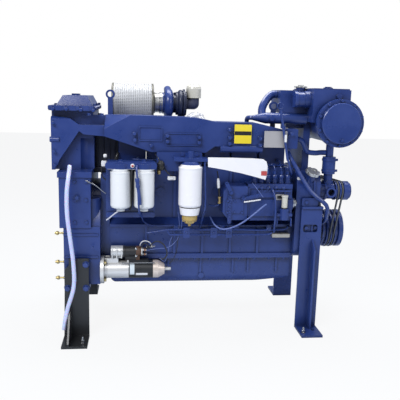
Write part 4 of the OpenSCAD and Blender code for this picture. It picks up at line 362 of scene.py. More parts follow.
def hex_heads(name, spots, out, across, finish):
    """Hexagon heads with washers, one mesh for a row; spots and width in millimetres."""
    shape = bmesh.new()
    flats = across / 1000
    corner = flats / math.sqrt(3)
    for spot in spots:
        here = Matrix.Translation(Vector(spot) / 1000) @ facing(out)
        bmesh.ops.create_cone(shape, cap_ends=True, segments=20, radius1=flats * WASHER_FOOT,
                              radius2=flats * WASHER_TOP, depth=flats * WASHER_HIGH,
                              matrix=here @ Matrix.Translation((0, 0, flats * WASHER_HIGH / 2)))
        head = bmesh.ops.create_cone(shape, cap_ends=True, segments=6, radius1=corner, radius2=corner,
                                     depth=flats * HEAD_HIGH,
                                     matrix=here @ Matrix.Translation((0, 0, flats * HEAD_MIDDLE)))
        bmesh.ops.bevel(shape, geom=edges_of(head["verts"]), offset=flats * HEAD_ROUND, affect="EDGES",
                        segments=1, profile=0.5, material=-1)
    finished(name, shape, finish)


def on_face(y, places):
    """Spots on a face that looks towards the camera, from pairs of X and Z."""
    return [(x, y, z) for x, z in places]


hex_heads("manifold_screws", on_face(MANIFOLD_FACE, MANIFOLD_SCREWS), NEAR, 15, blue_enamel)

# Sheet labels.
# A plain yellow plate with a dark band and a plain aluminium plate, both
# bare, stuck on the front of the intake manifold.
LABEL_FACE, BAND_FACE = -262.4, -263.4
FOIL_THICK, BAND_THICK, METAL_THICK = 1.2, 0.6, 1.4


def plate(name, corner, width, height, thick, finish, round_by=2):
    """A thin plate with rounded corners standing on a face that looks to -Y, in millimetres."""
    shape = bmesh.new()
    size = (width / 1000, thick / 1000, height / 1000)
    bmesh.ops.create_cube(shape, size=1, matrix=Matrix.Diagonal((*size, 1)))
    along = [edge for edge in shape.edges
             if abs((edge.verts[0].co - edge.verts[1].co).y) > size[1] / 2]
    bmesh.ops.bevel(shape, geom=along, offset=round_by / 1000, affect="EDGES", segments=4, profile=0.5,
                    material=-1)
    bmesh.ops.translate(shape, verts=shape.verts, vec=(
        (corner[0] + width / 2) / 1000, (corner[1] - thick / 2) / 1000, (corner[2] + height / 2) / 1000))
    finished(name, shape, finish)


yellow_foil = layered("yellow_foil", (0.85, 0.66, 0.015), (0.9, 0.75, 0.1), 0.4, bump=0.03, edge=0.1)
black_foil = layered("black_foil", (0.012, 0.012, 0.014), (0.03, 0.03, 0.03), 0.35, bump=0.03, edge=0.1)
plate_metal = layered("plate_metal", (0.48, 0.46, 0.47), (0.62, 0.60, 0.60), 0.42, bump=0.08, grain=700,
                      Metallic=0.45)
plate("yellow_plate", (121, LABEL_FACE, 1008), 88, 96, FOIL_THICK, yellow_foil)
plate("yellow_plate_band", (122, BAND_FACE, 1050), 86, 20, BAND_THICK, black_foil, 1)
plate("manifold_plate", (276, LABEL_FACE, 990), 120, 84, METAL_THICK, plate_metal)

# Bare metal.
# Liners and bearing caps are bare grey iron, the shafts, flywheel and pinion
# ground steel, and the pistons, alternator, caps and intake neck cast aluminium.
grey_iron = layered("grey_iron", (0.16, 0.16, 0.165), (0.32, 0.32, 0.33), 0.55, bump=0.5, Metallic=0.7)
ground_steel = layered("ground_steel", (0.52, 0.52, 0.53), (0.72, 0.72, 0.72), 0.26, bump=0.08,
                       Metallic=1.0)
cast_aluminium = layered("cast_aluminium", (0.60, 0.60, 0.585), (0.80, 0.80, 0.79), 0.36, bump=0.35,
                         grain=500, Metallic=0.75)
dress(grey_iron, "main_bearing_caps", "cylinder_liners")
dress(ground_steel, "crankshaft", "camshaft", "flywheel", "pump_coupling", "starter_pinion",
      "turbo_rotor")
dress(cast_aluminium, "pistons_outer", "pistons_middle", "pistons_inner", "alternator",
      "alternator_pulley", "filler_cap", "oil_filler_cap", "air_intake_neck")

# Dipstick.
# A spring steel blade under a ring handle that was dipped in the engine's
# blue; it stands in a painted tube.
HANDLE_FOOT = 1.165
PAST_ALL = 2.0


def recoat(finish, axis, zones):
    """Changes a layered finish in zones of low, high, colour, roughness, metallic along an axis, metres."""
    tree = finish.node_tree
    principled = tree.nodes["Principled BSDF"]
    place = wire(tree, "SeparateXYZ", {0: wire(tree, "TexCoord").outputs["Object"]}).outputs[axis]
    for low, high, color, roughness, metallic in zones:
        over = wire(tree, "Math", {0: place, 1: low}, operation="GREATER_THAN").outputs[0]
        under = wire(tree, "Math", {0: place, 1: high}, operation="LESS_THAN").outputs[0]
        mask = wire(tree, "Math", {0: over, 1: under}, operation="MULTIPLY").outputs[0]
        for label, value, kind in (("Base Color", (*color, 1), "RGBA"), ("Roughness", roughness, "FLOAT"),
                                   ("Metallic", metallic, "FLOAT")):
            socket = principled.inputs[label]
            before = socket.links[0].from_socket if socket.is_linked else socket.default_value
            blend = wire(tree, "Mix", {"Factor": mask}, data_type=kind)
            outside, inside = [entry for entry in blend.inputs if entry.name in ("A", "B") and entry.enabled]
            if socket.is_linked:
                tree.links.new(before, outside)
            else:
                outside.default_value = before
            inside.default_value = value
            tree.links.new([result for result in blend.outputs if result.enabled][0], socket)
    return finish


dip_coat = recoat(layered("dip_coat", (0.52, 0.52, 0.53), (0.72, 0.72, 0.72), 0.26, bump=0.08,
                          Metallic=1.0), "Z", [(HANDLE_FOOT, PAST_ALL, BLUE, 0.3, 0.0)])
dress(dip_coat, "dipstick")

# Starter.
# Cast nose, black steel field body and a champagne-zinc end cap; the solenoid
# above has a black shell and a moulded brown end.
FIELD_LOW, FIELD_HIGH, END_CAP_HIGH = -0.410, -0.284, -0.222
SHELL_LOW, SHELL_HIGH, MOULDED_HIGH = -0.440, -0.372, -0.345
FIELD_BLACK = (0.018, 0.019, 0.022)
CHAMPAGNE = (0.82, 0.70, 0.62)
SHELL_BLACK = (0.02, 0.02, 0.023)
MOULDED_BROWN = (0.10, 0.05, 0.03)
starter_coat = layered("starter_coat", (0.80, 0.79, 0.78), (0.90, 0.89, 0.88), 0.38, bump=0.4, grain=380,
                       Metallic=0.55)
recoat(starter_coat, "X", [(FIELD_LOW, FIELD_HIGH, FIELD_BLACK, 0.42, 0.0),
                           (FIELD_HIGH, END_CAP_HIGH, CHAMPAGNE, 0.34, 0.45)])
solenoid_coat = layered("solenoid_coat", (0.76, 0.76, 0.76), (0.9, 0.9, 0.9), 0.35, bump=0.3,
                        Metallic=0.6)
recoat(solenoid_coat, "X", [(SHELL_LOW, SHELL_HIGH, SHELL_BLACK, 0.4, 0.0),
                            (SHELL_HIGH, MOULDED_HIGH, MOULDED_BROWN, 0.5, 0.0)])
dress(starter_coat, "starter_motor")
dress(solenoid_coat, "starter_solenoid")

# Filters.
# Spin-on canisters in white enamel under blue cast heads, and a water
# separator with a moulded amber bowl on a blue bracket.
FILTER_HEAD_FOOT = 0.884
SEPARATOR_HEAD_FOOT = 0.908
SEPARATOR_LOW, SEPARATOR_HIGH, SEPARATOR_BACK = -0.168, -0.044, -0.285
canister = layered("canister_enamel", (0.83, 0.84, 0.86), (0.92, 0.93, 0.93), 0.24, bump=0.05, edge=0.2,
                   Coat_Weight=0.4)
recoat(canister, "Z", [(FILTER_HEAD_FOOT, PAST_ALL, BLUE, 0.3, 0.0)])
separator_coat = layered("separator_enamel", (0.92, 0.90, 0.93), (0.97, 0.96, 0.98), 0.24, bump=0.05,
                         edge=0.2, Coat_Weight=0.4)
recoat(separator_coat, "Z", [(SEPARATOR_HEAD_FOOT, PAST_ALL, BLUE, 0.3, 0.0)])
recoat(separator_coat, "X", [(-PAST_ALL, SEPARATOR_LOW, BLUE, 0.3, 0.0),
                             (SEPARATOR_HIGH, PAST_ALL, BLUE, 0.3, 0.0)])
recoat(separator_coat, "Y", [(SEPARATOR_BACK, PAST_ALL, BLUE, 0.3, 0.0)])
amber = layered("amber_bowl", (0.45, 0.30, 0.07), (0.75, 0.6, 0.25), 0.18, bump=0.15, patch=40,
                Coat_Weight=0.5)
dress(canister, "fuel_filters")
dress(separator_coat, "water_separator")
dress(amber, "separator_bowl")

# Legs.
# Welded plate legs for transport: the rear pair satin black, the front pair
# in the engine's blue.
REAR_LEGS_LOW, REAR_LEGS_HIGH = -0.80, -0.45
LEG_BLACK = (0.017, 0.018, 0.020)
leg_coat = layered("leg_enamel", BLUE, BLUE_WORN_AND_HIGHLIGHT, 0.32, spread=0.2, bump=0.25, patch=5, grain=200,
                   edge=0.5, Coat_Weight=0.2)
recoat(leg_coat, "X", [(REAR_LEGS_LOW, REAR_LEGS_HIGH, LEG_BLACK, 0.36, 0.0)])
dress(leg_coat, "legs")

# Exhaust cap, primer, belts and elbow.
# The transport cap and the hand primer have a cream coat, the V-belts are
# rubber, and the exhaust elbow is cast iron with a thin dark coat.
cream = layered("cream_paint", (0.62, 0.60, 0.52), (0.85, 0.83, 0.75), 0.3, bump=0.05, Coat_Weight=0.3)
belt_rubber = layered("belt_rubber", (0.085, 0.09, 0.10), (0.2, 0.2, 0.21), 0.7, bump=0.4)
elbow_iron = layered("elbow_iron", (0.022, 0.03, 0.085), (0.08, 0.085, 0.12), 0.5, bump=0.6, patch=14)
dress(cream, "exhaust_cap", "hand_primer")
dress(belt_rubber, "v_belts")
dress(elbow_iron, "exhaust_elbow")

# Turbocharger.
# The turbine side stands hot and was sprayed thin, so it is almost black; the
# compressor side keeps the enamel.
TURBINE_LOW, TURBINE_HIGH = -0.168, 0.0
TURBINE_DARK = (0.006, 0.012, 0.045)
turbo_coat = layered("turbo_enamel", BLUE, CAST_WORN_AND_HIGHLIGHT, 0.34, spread=0.2, bump=0.5, patch=9, grain=260,
                     edge=0.4, Coat_Weight=0.15)
recoat(turbo_coat, "X", [(TURBINE_LOW, TURBINE_HIGH, TURBINE_DARK, 0.5, 0.0)])
dress(turbo_coat, "turbocharger")

# Air filter.
# A drum of perforated zinc sheet with diamond openings over the paper
# element, between two pressed end caps that are crimped over it.
DRUM_ROWS, DRUM_HOLES = 22, 76
DRUM_INSET = 0.005
DRUM_MARGIN = 0.006
SHEET_WEB = 0.0022
SHEET_THICK = 0.0022
HOLE_DRAFT = 0.0003
CAP_IN = 0.002
CAP_STEPS = 72
MERGE_WITHIN = 1e-5
drum_low, drum_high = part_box("air_filter")
drum_axis = ((drum_low.y + drum_high.y) / 2, (drum_low.z + drum_high.z) / 2)
drum_r = (drum_high.y - drum_low.y) / 2 - DRUM_INSET
CAP_OUTLINE = [(0, 0), (0, 0.012), (0, drum_r * 0.55), (-0.002, drum_r * 0.62), (-0.002, drum_r * 0.9),
               (0, drum_r + 0.002), (0.003, drum_r + 0.004), (0.009, drum_r + 0.004),
               (0.010, drum_r + 0.001)]


def drum_sheet():
    """The perforated wall: rings of points turned half a pitch from row to row, each mesh pierced."""
    shape = bmesh.new()
    length = drum_high.x - drum_low.x - 2 * DRUM_MARGIN
    rings = []
    for row in range(DRUM_ROWS + 1):
        ring = bmesh.ops.create_circle(shape, segments=DRUM_HOLES, radius=drum_r, matrix=(
            Matrix.Translation((drum_low.x + DRUM_MARGIN + length * row / DRUM_ROWS, *drum_axis))
            @ Matrix.Rotation(math.radians(90), 4, "Y")
            @ Matrix.Rotation(math.pi / DRUM_HOLES * (row % 2), 4, "Z")))
        rings.append(edges_of(ring["verts"]))
        if row:
            bmesh.ops.bridge_loops(shape, edges=rings[-2] + rings[-1])
    meshes = [face for face in shape.faces if abs(face.normal.x) < 0.5]
    bmesh.ops.recalc_face_normals(shape, faces=shape.faces)
    bmesh.ops.inset_individual(shape, faces=meshes, thickness=SHEET_WEB, depth=0, use_even_offset=True)
    bmesh.ops.inset_individual(shape, faces=meshes, thickness=HOLE_DRAFT, depth=-SHEET_THICK)
    for face in meshes:
        face.material_index = 1
    return shape


zinc_sheet = layered("zinc_sheet", (0.52, 0.53, 0.55), (0.62, 0.63, 0.65), 0.55, bump=0.1, Metallic=0.15,
                     edge=0.2, edge_width=0.0006, shade=0.0)
filter_dark = layered("filter_element", (0.10, 0.10, 0.105), (0.2, 0.2, 0.2), 0.8, bump=0.3, edge=0.0)
drum = finished("air_filter_drum", drum_sheet(), zinc_sheet, filter_dark)

caps_shape = bmesh.new()
for x, way in ((drum_low.x, 1), (drum_high.x, -1)):
    line = [caps_shape.verts.new((x + way * (CAP_IN + inward), drum_axis[0], drum_axis[1] + radius))
            for inward, radius in CAP_OUTLINE]
    rim = [caps_shape.edges.new(pair) for pair in zip(line, line[1:])]
    bmesh.ops.spin(caps_shape, geom=line + rim, cent=(x, *drum_axis), axis=(1, 0, 0), angle=math.tau,
                   steps=CAP_STEPS, use_merge=True, use_duplicate=False)
bmesh.ops.remove_doubles(caps_shape, verts=caps_shape.verts, dist=MERGE_WITHIN)
bmesh.ops.recalc_face_normals(caps_shape, faces=caps_shape.faces)
olive = layered("olive_zinc", (0.16, 0.155, 0.13), (0.3, 0.3, 0.28), 0.42, bump=0.1, Metallic=0.6)
finished("air_filter_caps", caps_shape, olive, smooth=True)
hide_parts("air_filter")

# Cables and small pipes.
# Starter cable in black PVC, thin sender wires, a clear tube from the filter
# drain, the lift hose under the pump and the white rod of the throttle lever.
ROUTE_STEPS = 5
SENDER_WIRE = 1.6
LEVER_ROD_Y = -336


def run(name, route, radius, finish, sides=8, body="engine"):
    """A cable or small pipe held at both ends, along points in millimetres."""
    piece = tube(name, smooth_route(route, ROUTE_STEPS), radius / 1000, sides)
    piece.data.materials.append(finish)
    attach(piece, body)


cable_black = layered("cable_black", (0.02, 0.021, 0.024), (0.06, 0.06, 0.065), 0.45, bump=0.1, edge=0.0)
cable_blue = layered("cable_blue", (0.10, 0.15, 0.42), (0.2, 0.26, 0.5), 0.35, bump=0.1, edge=0.0)
clear_tube = layered("clear_tube", (0.62, 0.63, 0.72), (0.8, 0.8, 0.86), 0.2, bump=0.05, edge=0.0)
white_plastic = layered("white_plastic", (0.80, 0.80, 0.82), (0.88, 0.88, 0.9), 0.38, bump=0.05)
run("solenoid_cable", [(-330, -236, 448), (-300, -250, 466), (-285, -262, 486), (-260, -270, 497),
                       (-229, -275, 479), (-212, -272, 434), (-227, -264, 402), (-250, -255, 400)],
    3.5, cable_black)
run("sender_wire_a", [(-250, -262, 404), (-222, -262, 388), (-207, -268, 439), (-197, -262, 496),
                      (-177, -255, 532), (-150, -240, 560), (-150, -222, 610), (-155, -213, 640)],
    SENDER_WIRE, cable_blue)
run("sender_wire_b", [(-320, -240, 440), (-259, -262, 456), (-223, -270, 461), (-187, -268, 476),
                      (-156, -262, 512), (-141, -258, 549), (-136, -245, 593), (-130, -228, 653)],
    SENDER_WIRE, cable_blue)
run("lift_hose", [(12, -240, 622), (20, -262, 605), (34, -285, 585), (68, -300, 569), (113, -310, 578),
                  (168, -318, 606), (228, -324, 654), (268, -326, 690), (290, -322, 705)],
    4.6, cable_blue)
run("pump_feed_pipe", [(318, -296, 780), (326, -308, 772), (333, -322, 738), (337, -332, 687),
                       (336, -334, 630), (338, -320, 575), (342, -300, 552)], 5, blue_enamel)
run("filter_drain_tube", [(-446, -340, 684), (-455, -346, 676), (-478, -350, 660), (-501, -345, 640),
                          (-519, -335, 624)], 3.4, clear_tube)
run("lever_rod", [(170, LEVER_ROD_Y, 718), (205, LEVER_ROD_Y, 723), (256, LEVER_ROD_Y, 731)], 3.6,
    white_plastic, body="throttle")
run("lever_wire", [(216, -300, 812), (226, -324, 798), (246, -343, 772), (266, -345, 745)], SENDER_WIRE,
    cable_blue)

# Fuel pump details.
# Delivery valve holders as blue enamel rings, tappet covers, a rack bar and a bare plate on the pump, and
# the screwed rim of the governor.
VALVE_FIRST, VALVE_PITCH, CYLINDERS = 239, 35.6, 6
VALVE_Y, VALVE_FOOT = -240, 803
TAPPET_FACE, TAPPET_Z = -278, 784
RIM_CORNER, RIM_WIDE, RIM_HIGH, RIM_THICK = (93, -302, 598), 20, 154, 8
RIM_SCREW_FIRST, RIM_SCREW_PITCH, RIM_SCREW_COUNT = 12, 26, 6
PLATE_CORNER, PLATE_WIDE, PLATE_HIGH = (344, -288.3, 721), 45, 30
PLATE_SCREW_FACE = -288
PLATE_SCREWS = [(340, 757), (393, 757), (340, 714), (393, 714)]
GOVERNOR_FACE = -307
GOVERNOR_SCREWS = [(128, 660), (168, 660), (128, 718), (168, 718)]


def turned(name, spots, out, profile, finish):
    """Turned pieces, one mesh for a row; profile is (radius, height) along the way out, in millimetres."""
    shape = bmesh.new()
    for spot in spots:
        here = Matrix.Translation(Vector(spot) / 1000) @ facing(out)
        line = [shape.verts.new(here @ Vector((radius / 1000, 0, height / 1000)))
                for radius, height in profile]
        ribs = [shape.edges.new(pair) for pair in zip(line, line[1:])]
        bmesh.ops.spin(shape, geom=line + ribs, cent=here.translation,
                       axis=here.to_3x3() @ Vector((0, 0, 1)), angle=math.tau, steps=28, use_merge=True,
                       use_duplicate=False)
    bmesh.ops.remove_doubles(shape, verts=shape.verts, dist=MERGE_WITHIN)
    bmesh.ops.recalc_face_normals(shape, faces=shape.faces)
    finished(name, shape, finish)


bare_plate = layered("bare_plate", (0.46, 0.43, 0.38), (0.62, 0.60, 0.55), 0.42, bump=0.2, Metallic=0.4)
turned("valve_holders", [(VALVE_FIRST + VALVE_PITCH * k, VALVE_Y, VALVE_FOOT) for k in range(CYLINDERS)],
       UP, [(0, 0), (16.5, 0), (16.5, 7), (13.6, 10), (13.6, 24), (15.2, 26), (15.2, 38), (13, 43),
            (0, 44)], blue_enamel)
turned("tappet_covers", on_face(TAPPET_FACE, [(x, TAPPET_Z) for x in (270, 305, 344, 386)]), NEAR,
       [(0, 0), (10, 0), (10, 6), (8.5, 10), (4, 12), (0, 12)], blue_enamel)
plate("rack_bar", (326, -283, 763), 95, 9, 9, blue_enamel, 3)
plate("pump_plate", PLATE_CORNER, PLATE_WIDE, PLATE_HIGH, 1.2, plate_metal)
plate("pump_plate_window", (353, -289.3, 728), 27, 16, 0.5, black_foil, 1)
hex_heads("pump_plate_screws", on_face(PLATE_SCREW_FACE, PLATE_SCREWS), NEAR, 8, blue_enamel)
plate("pump_foot_plate", (352, -198, 505), 96, 19, 32, bare_plate, 2)
plate("governor_rim", RIM_CORNER, RIM_WIDE, RIM_HIGH, RIM_THICK, blue_cast, 8)
rim_screws = [(RIM_CORNER[0] + RIM_WIDE / 2, RIM_CORNER[2] + RIM_SCREW_FIRST + RIM_SCREW_PITCH * k)
              for k in range(RIM_SCREW_COUNT)]
hex_heads("governor_screws", on_face(RIM_CORNER[1] - RIM_THICK, rim_screws), NEAR, 10, blue_enamel)
hex_heads("governor_cover_screws", on_face(GOVERNOR_FACE, GOVERNOR_SCREWS), NEAR, 9, blue_enamel)

# Senders and plugs.
# A moulded restriction sender with a brass cap by the second filter, the white
# two-part plug on its lead, and the brass temperature sender above the pump.
brass = layered("brass", (0.56, 0.40, 0.16), (0.72, 0.56, 0.28), 0.32, bump=0.06, Metallic=0.85)
black_plastic = layered("black_plastic", (0.014, 0.014, 0.016), (0.05, 0.05, 0.05), 0.45, bump=0.1)
turned("filter_sender", [(-251, -292, 873)], UP,
       [(0, 0), (16, 0), (19, 4), (19, 14), (17, 16), (17, 20), (19, 22), (19, 32), (13, 40), (8, 46),
        (0, 46)], black_plastic)
turned("filter_sender_cap", [(-260, -292, 851)], UP,
       [(0, 0), (8, 0), (9.5, 3), (9.5, 18), (7, 22), (0, 22)], brass)
run("plug_lead", [(-235, -285, 886), (-220, -292, 862), (-205, -298, 850), (-186, -300, 838)], 2.8,
    black_plastic)
plate("plug_white", (-217, -296, 824), 40, 18, 14, white_plastic, 4)
plate("plug_white_latch", (-206, -310, 828), 16, 9, 3, white_plastic, 2)
turned("sender_white", [(47, -280, 780)], (-0.1, 0, 1),
       [(0, 0), (6.5, 0), (7.5, 4), (7.5, 34), (5.5, 48), (0, 52)], white_plastic)
run("sender_boot", [(47, -280, 784), (50, -280, 764), (53, -279, 732)], 5.6, black_plastic)
turned("sender_brass", [(54, -278, 700)], UP,
       [(0, 0), (10, 0), (10, 9), (7.5, 11), (7.5, 24), (9.5, 26), (9.5, 35), (0, 36)], brass)
run("sender_lead", [(37, -268, 868), (41, -272, 850), (44, -279, 826)], 3, cable_black)
run("sender_pipe", [(54, -278, 704), (48, -272, 690), (28, -262, 683), (5, -240, 684)], 4.5, blue_enamel)
run("gauge_wire_low", [(-141, -262, 539), (-156, -262, 502), (-160, -262, 453), (-175, -262, 404),
                       (-201, -262, 372)], 1.7, cable_black)
run("gauge_wire_high", [(-256, -300, 913), (-266, -290, 932), (-280, -260, 948)], 2, cable_black)

# Filter trim.
# A vent button on the filter head, the black breather hose between the
# canisters and the coupling on the blue feed hose.
red_plastic = layered("red_plastic", (0.42, 0.035, 0.03), (0.55, 0.12, 0.1), 0.35, bump=0.05)
turned("vent_ring", [(-391, -368.5, 901)], NEAR, [(0, 0), (10, 0), (10, 4), (8, 5), (0, 5)],
       white_plastic)
turned("vent_button", [(-391, -373, 901)], NEAR, [(0, 0), (5.5, 0), (5.5, 3), (4, 5), (0, 5)],
       red_plastic)
run("breather_hose", [(-392, -366, 884), (-396, -360, 868), (-398, -346, 800), (-397, -340, 730),
                      (-400, -332, 690), (-404, -300, 672)], 6, cable_black)
run("feed_hose", [(-369, -401, 842), (-364, -402, 800), (-358, -402, 760), (-353, -400, 716)], 8.4,
    blue_enamel)
turned("feed_hose_coupling", [(-369, -401, 846)], (0.1, 0, -1),
       [(0, 0), (10, 0), (11.5, 3), (11.5, 18), (9.5, 20), (9.5, 34), (11, 36), (11, 46), (0, 47)],
       blue_enamel)

# Loose fastenings.
# Yellow-zinc plugs stand out of the rear face of the flywheel housing, plated
# bolts hold the starter, copper nuts its cables, and blue bolts the duct.
PLUG_HEIGHTS = (541, 390, 305)
STARTER_FLANGE = -537
STARTER_BOLTS = [(-266, 382.5), (-266, 291.5), (-190, 291.5), (-190, 382.5)]
TERMINALS_X = -331
yellow_zinc = layered("yellow_zinc", (0.55, 0.42, 0.16), (0.75, 0.64, 0.36), 0.30, bump=0.06,
                      Metallic=0.8)
copper = layered("copper", (0.46, 0.22, 0.13), (0.65, 0.38, 0.26), 0.36, bump=0.1, Metallic=0.8)
turned("housing_plugs", [(-737, -265, z) for z in PLUG_HEIGHTS], REAR,
       [(0, 0), (7, 0), (7, 5), (4.5, 6), (4.5, 24), (9.5, 25), (10.5, 31), (9.5, 37), (6, 38), (6, 44),
        (0, 44)], yellow_zinc)
hex_heads("starter_bolts", [(STARTER_FLANGE, y, z) for y, z in STARTER_BOLTS], FRONT, 18, yellow_zinc)
hex_heads("terminal_nuts", [(TERMINALS_X, -240, 443), (TERMINALS_X, -216, 443), (TERMINALS_X, -228, 417.5)],
          FRONT, 13, copper)
hex_heads("solenoid_screws", [(-372, -250, 452), (-372, -252, 414)], NEAR, 8, ground_steel)
hex_heads("duct_bolts", [(-606, -240, 1133), (-543, -225, 1133)], UP, 15, blue_enamel)
plate("starter_tag", (377, -283, 1020), 12, 38, 1.2, white_plastic, 2)

# Starter labels.
# Two bare foil labels bent round the field body and a rubber plug between
# them.
STARTER_AXIS = (-228, 337)
LABEL_RADIUS = 47.8
LABEL_THICK = 0.0006
LABEL_FACETS = 12


def band(name, low, high, start, end, finish):
    """A thin label bent round the starter between two X, from start to end degrees above its near side."""
    shape = bmesh.new()
    rows = []
    for k in range(LABEL_FACETS + 1):
        angle = math.radians(start + (end - start) * k / LABEL_FACETS)
        y = STARTER_AXIS[0] - LABEL_RADIUS * math.cos(angle)
        z = STARTER_AXIS[1] + LABEL_RADIUS * math.sin(angle)
        rows.append([shape.verts.new((x / 1000, y / 1000, z / 1000)) for x in (low, high)])
    for below, above in zip(rows, rows[1:]):
        shape.faces.new((below[0], below[1], above[1], above[0]))
    shape.normal_update()
    bmesh.ops.solidify(shape, geom=shape.faces[:], thickness=LABEL_THICK)
    bmesh.ops.recalc_face_normals(shape, faces=shape.faces)
    finished(name, shape, finish)


pale_foil = layered("pale_foil", (0.66, 0.74, 0.80), (0.8, 0.85, 0.88), 0.4, bump=0.03, edge=0.1)
band("starter_label_tall", -404, -380, -21, 56, pale_foil)
band("starter_label_low", -373, -312, -26, -10, white_plastic)
turned("starter_plug", [(-354, -272, 349)], (0, -1, 0.26),
       [(0, 0), (7.5, 0), (7.5, 3), (5, 5), (0, 5)], black_plastic)

# Film.
# A crumpled piece of clear packing film, laid loose over the heads behind the
# manifold; its long folds are two waves and a smaller third one.
FILM_MIDDLE = Vector((-0.058, -0.035, 1.085))
FILM_LONG, FILM_WIDE, FILM_HIGH = 0.135, 0.12, 0.066
FILM_FOLD, FILM_SHIFT = 0.008, 0.004
SMALL_FOLD = 0.6
film_shape = bmesh.new()
bmesh.ops.create_grid(film_shape, x_segments=44, y_segments=26, size=0.5)
for vert in film_shape.verts:
    along, across = vert.co.x, vert.co.y
    folds = (math.sin(along * 31 + across * 13) + math.sin(along * 17 - across * 29 + 1.3)
             + SMALL_FOLD * math.sin(along * 57 + across * 41))
    fold = folds / (2 + SMALL_FOLD)
    mound = max(0.0, 1 - (2 * abs(along)) ** 3) * max(0.0, 1 - (2 * abs(across)) ** 2)
    vert.co = FILM_MIDDLE + Vector((FILM_LONG * along + FILM_SHIFT * fold, FILM_WIDE * across,
                                    (FILM_HIGH + FILM_FOLD * fold) * mound))
bmesh.ops.recalc_face_normals(film_shape, faces=film_shape.faces)
# Painted shade: the film's mid grey stands for the shade in its folds; the film itself is clear and pale.
film_skin = layered("packing_film", (0.42, 0.43, 0.47), (0.60, 0.60, 0.64), 0.22, bump=0.5, patch=30,
                    grain=60, edge=0.0)
finished("packing_film", film_shape, film_skin, smooth=True)

# Paper sleeve.
# A clear sleeve with a folded sheet in it, hung from the separator bracket and
# leaning across the pump; its corners are cut round and it bows forward.
SLEEVE_Y = -0.353
SLEEVE_EDGE = [(-23, 945), (90, 946), (203, 944), (255, 940), (272, 928), (279, 905), (279, 869),
               (271, 836), (228, 848), (145, 869), (62, 885), (-21, 898)]
SLEEVE_THICK = 0.0012
SLEEVE_BOW, SLEEVE_RIPPLE = 0.006, 0.0012
SLEEVE_CUTS = 3
sleeve_low = SLEEVE_EDGE[0][0] / 1000
sleeve_long = (SLEEVE_EDGE[5][0] - SLEEVE_EDGE[0][0]) / 1000
sleeve_shape = bmesh.new()
outline = [sleeve_shape.verts.new((x / 1000, SLEEVE_Y, z / 1000)) for x, z in SLEEVE_EDGE]
sheet = sleeve_shape.faces.new(outline)
bmesh.ops.triangulate(sleeve_shape, faces=[sheet])
for _ in range(SLEEVE_CUTS):
    bmesh.ops.subdivide_edges(sleeve_shape, edges=sleeve_shape.edges[:], cuts=1, use_grid_fill=True)
for vert in sleeve_shape.verts:
    along = (vert.co.x - sleeve_low) / sleeve_long
    bow = SLEEVE_BOW * math.sin(math.pi * min(max(along, 0), 1))
    vert.co.y -= bow + SLEEVE_RIPPLE * math.sin(along * 19 + vert.co.z * 70)
sleeve_shape.normal_update()
bmesh.ops.solidify(sleeve_shape, geom=sleeve_shape.faces[:], thickness=SLEEVE_THICK)
bmesh.ops.recalc_face_normals(sleeve_shape, faces=sleeve_shape.faces)
paper = layered("sleeve_paper", (0.92, 0.90, 0.92), (0.96, 0.95, 0.96), 0.35, bump=0.1, Coat_Weight=0.5)
red_foil = layered("red_foil", (0.50, 0.05, 0.05), (0.62, 0.2, 0.18), 0.4, bump=0.03, edge=0.1)
sleeve = finished("paper_sleeve", sleeve_shape, paper)
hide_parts("document_sleeve")
plate("sleeve_patch", (247, -357, 858), 29, 22, 0.5, red_foil, 1)

# Fuel rail.
# Two blue pipes side by side along the block, held by two clamps and turned
# up at the front end to the lift pump.
RAIL_RADIUS = 5.4
RAIL_Y = -266
CLAMPS = (-130, 12, 92)
CLAMP_WIDE, CLAMP_HIGH, CLAMP_THICK = 34, 54, 15
CLAMP_BACK, CLAMP_FOOT, CLAMP_SCREW_Z = -258, 515, 544
run("rail_low", [(-212, -262, 556), (-205, RAIL_Y, 540), (-191, RAIL_Y, 531), (-90, RAIL_Y, 531),
                 (7, RAIL_Y, 531), (160, RAIL_Y, 531), (310, RAIL_Y, 531), (341, -264, 541)],
    RAIL_RADIUS, blue_enamel, 12)
run("rail_up", [(-317, -262, 540), (-212, RAIL_Y, 557), (-190, RAIL_Y, 558), (-90, RAIL_Y, 558),
                (6, RAIL_Y, 558), (150, RAIL_Y, 558), (295, RAIL_Y, 554), (322, -262, 566)],
    RAIL_RADIUS, blue_enamel, 12)
for number, x in enumerate(CLAMPS):
    plate(f"rail_clamp_{number}", (x, CLAMP_BACK, CLAMP_FOOT), CLAMP_WIDE, CLAMP_HIGH, CLAMP_THICK,
          blue_cast, 5)
clamp_screws = [(x + CLAMP_WIDE / 2, CLAMP_SCREW_Z) for x in CLAMPS]
hex_heads("rail_clamp_screws", on_face(CLAMP_BACK - CLAMP_THICK, clamp_screws), NEAR, 9, blue_enamel)

# Small fastenings and plugs.
# Blue bolts on the black rear leg, flange screws on the charge cooler, zinc
# anchor bolts in the feet and the white plugs of the speed sender.
LEG_FACE = -320
COOLER_FACE = -246
COOLER_SCREWS = [(-781, 1160), (-715, 1161), (-646, 1159), (-585, 1158), (-782, 1093), (-778, 953),
                 (-777, 882)]
hex_heads("rear_leg_bolts", on_face(LEG_FACE, [(-715, 267), (-624, 267), (-624, 391)]), NEAR, 24,
          blue_enamel)
hex_heads("cooler_screws", on_face(COOLER_FACE, COOLER_SCREWS), NEAR, 13, blue_enamel)
hex_heads("pedestal_screw", [(-665, -294, 729)], NEAR, 18, blue_enamel)
hex_heads("housing_screw", [(-591, -308, 477)], NEAR, 11, blue_enamel)
hex_heads("dome_screw", [(663, -327, 1036)], NEAR, 14, blue_enamel)
turned("anchor_bolts", [(518, -350, 12), (-637, -410, 12)], UP,
       [(0, 0), (11, 0), (11, 3), (6.5, 3.5), (6.5, 9), (9, 9.5), (9, 17), (5, 18), (5, 31), (0, 32)],
       ground_steel)
plate("speed_plug", (-546, -262, 885), 26, 28, 16, white_plastic, 5)
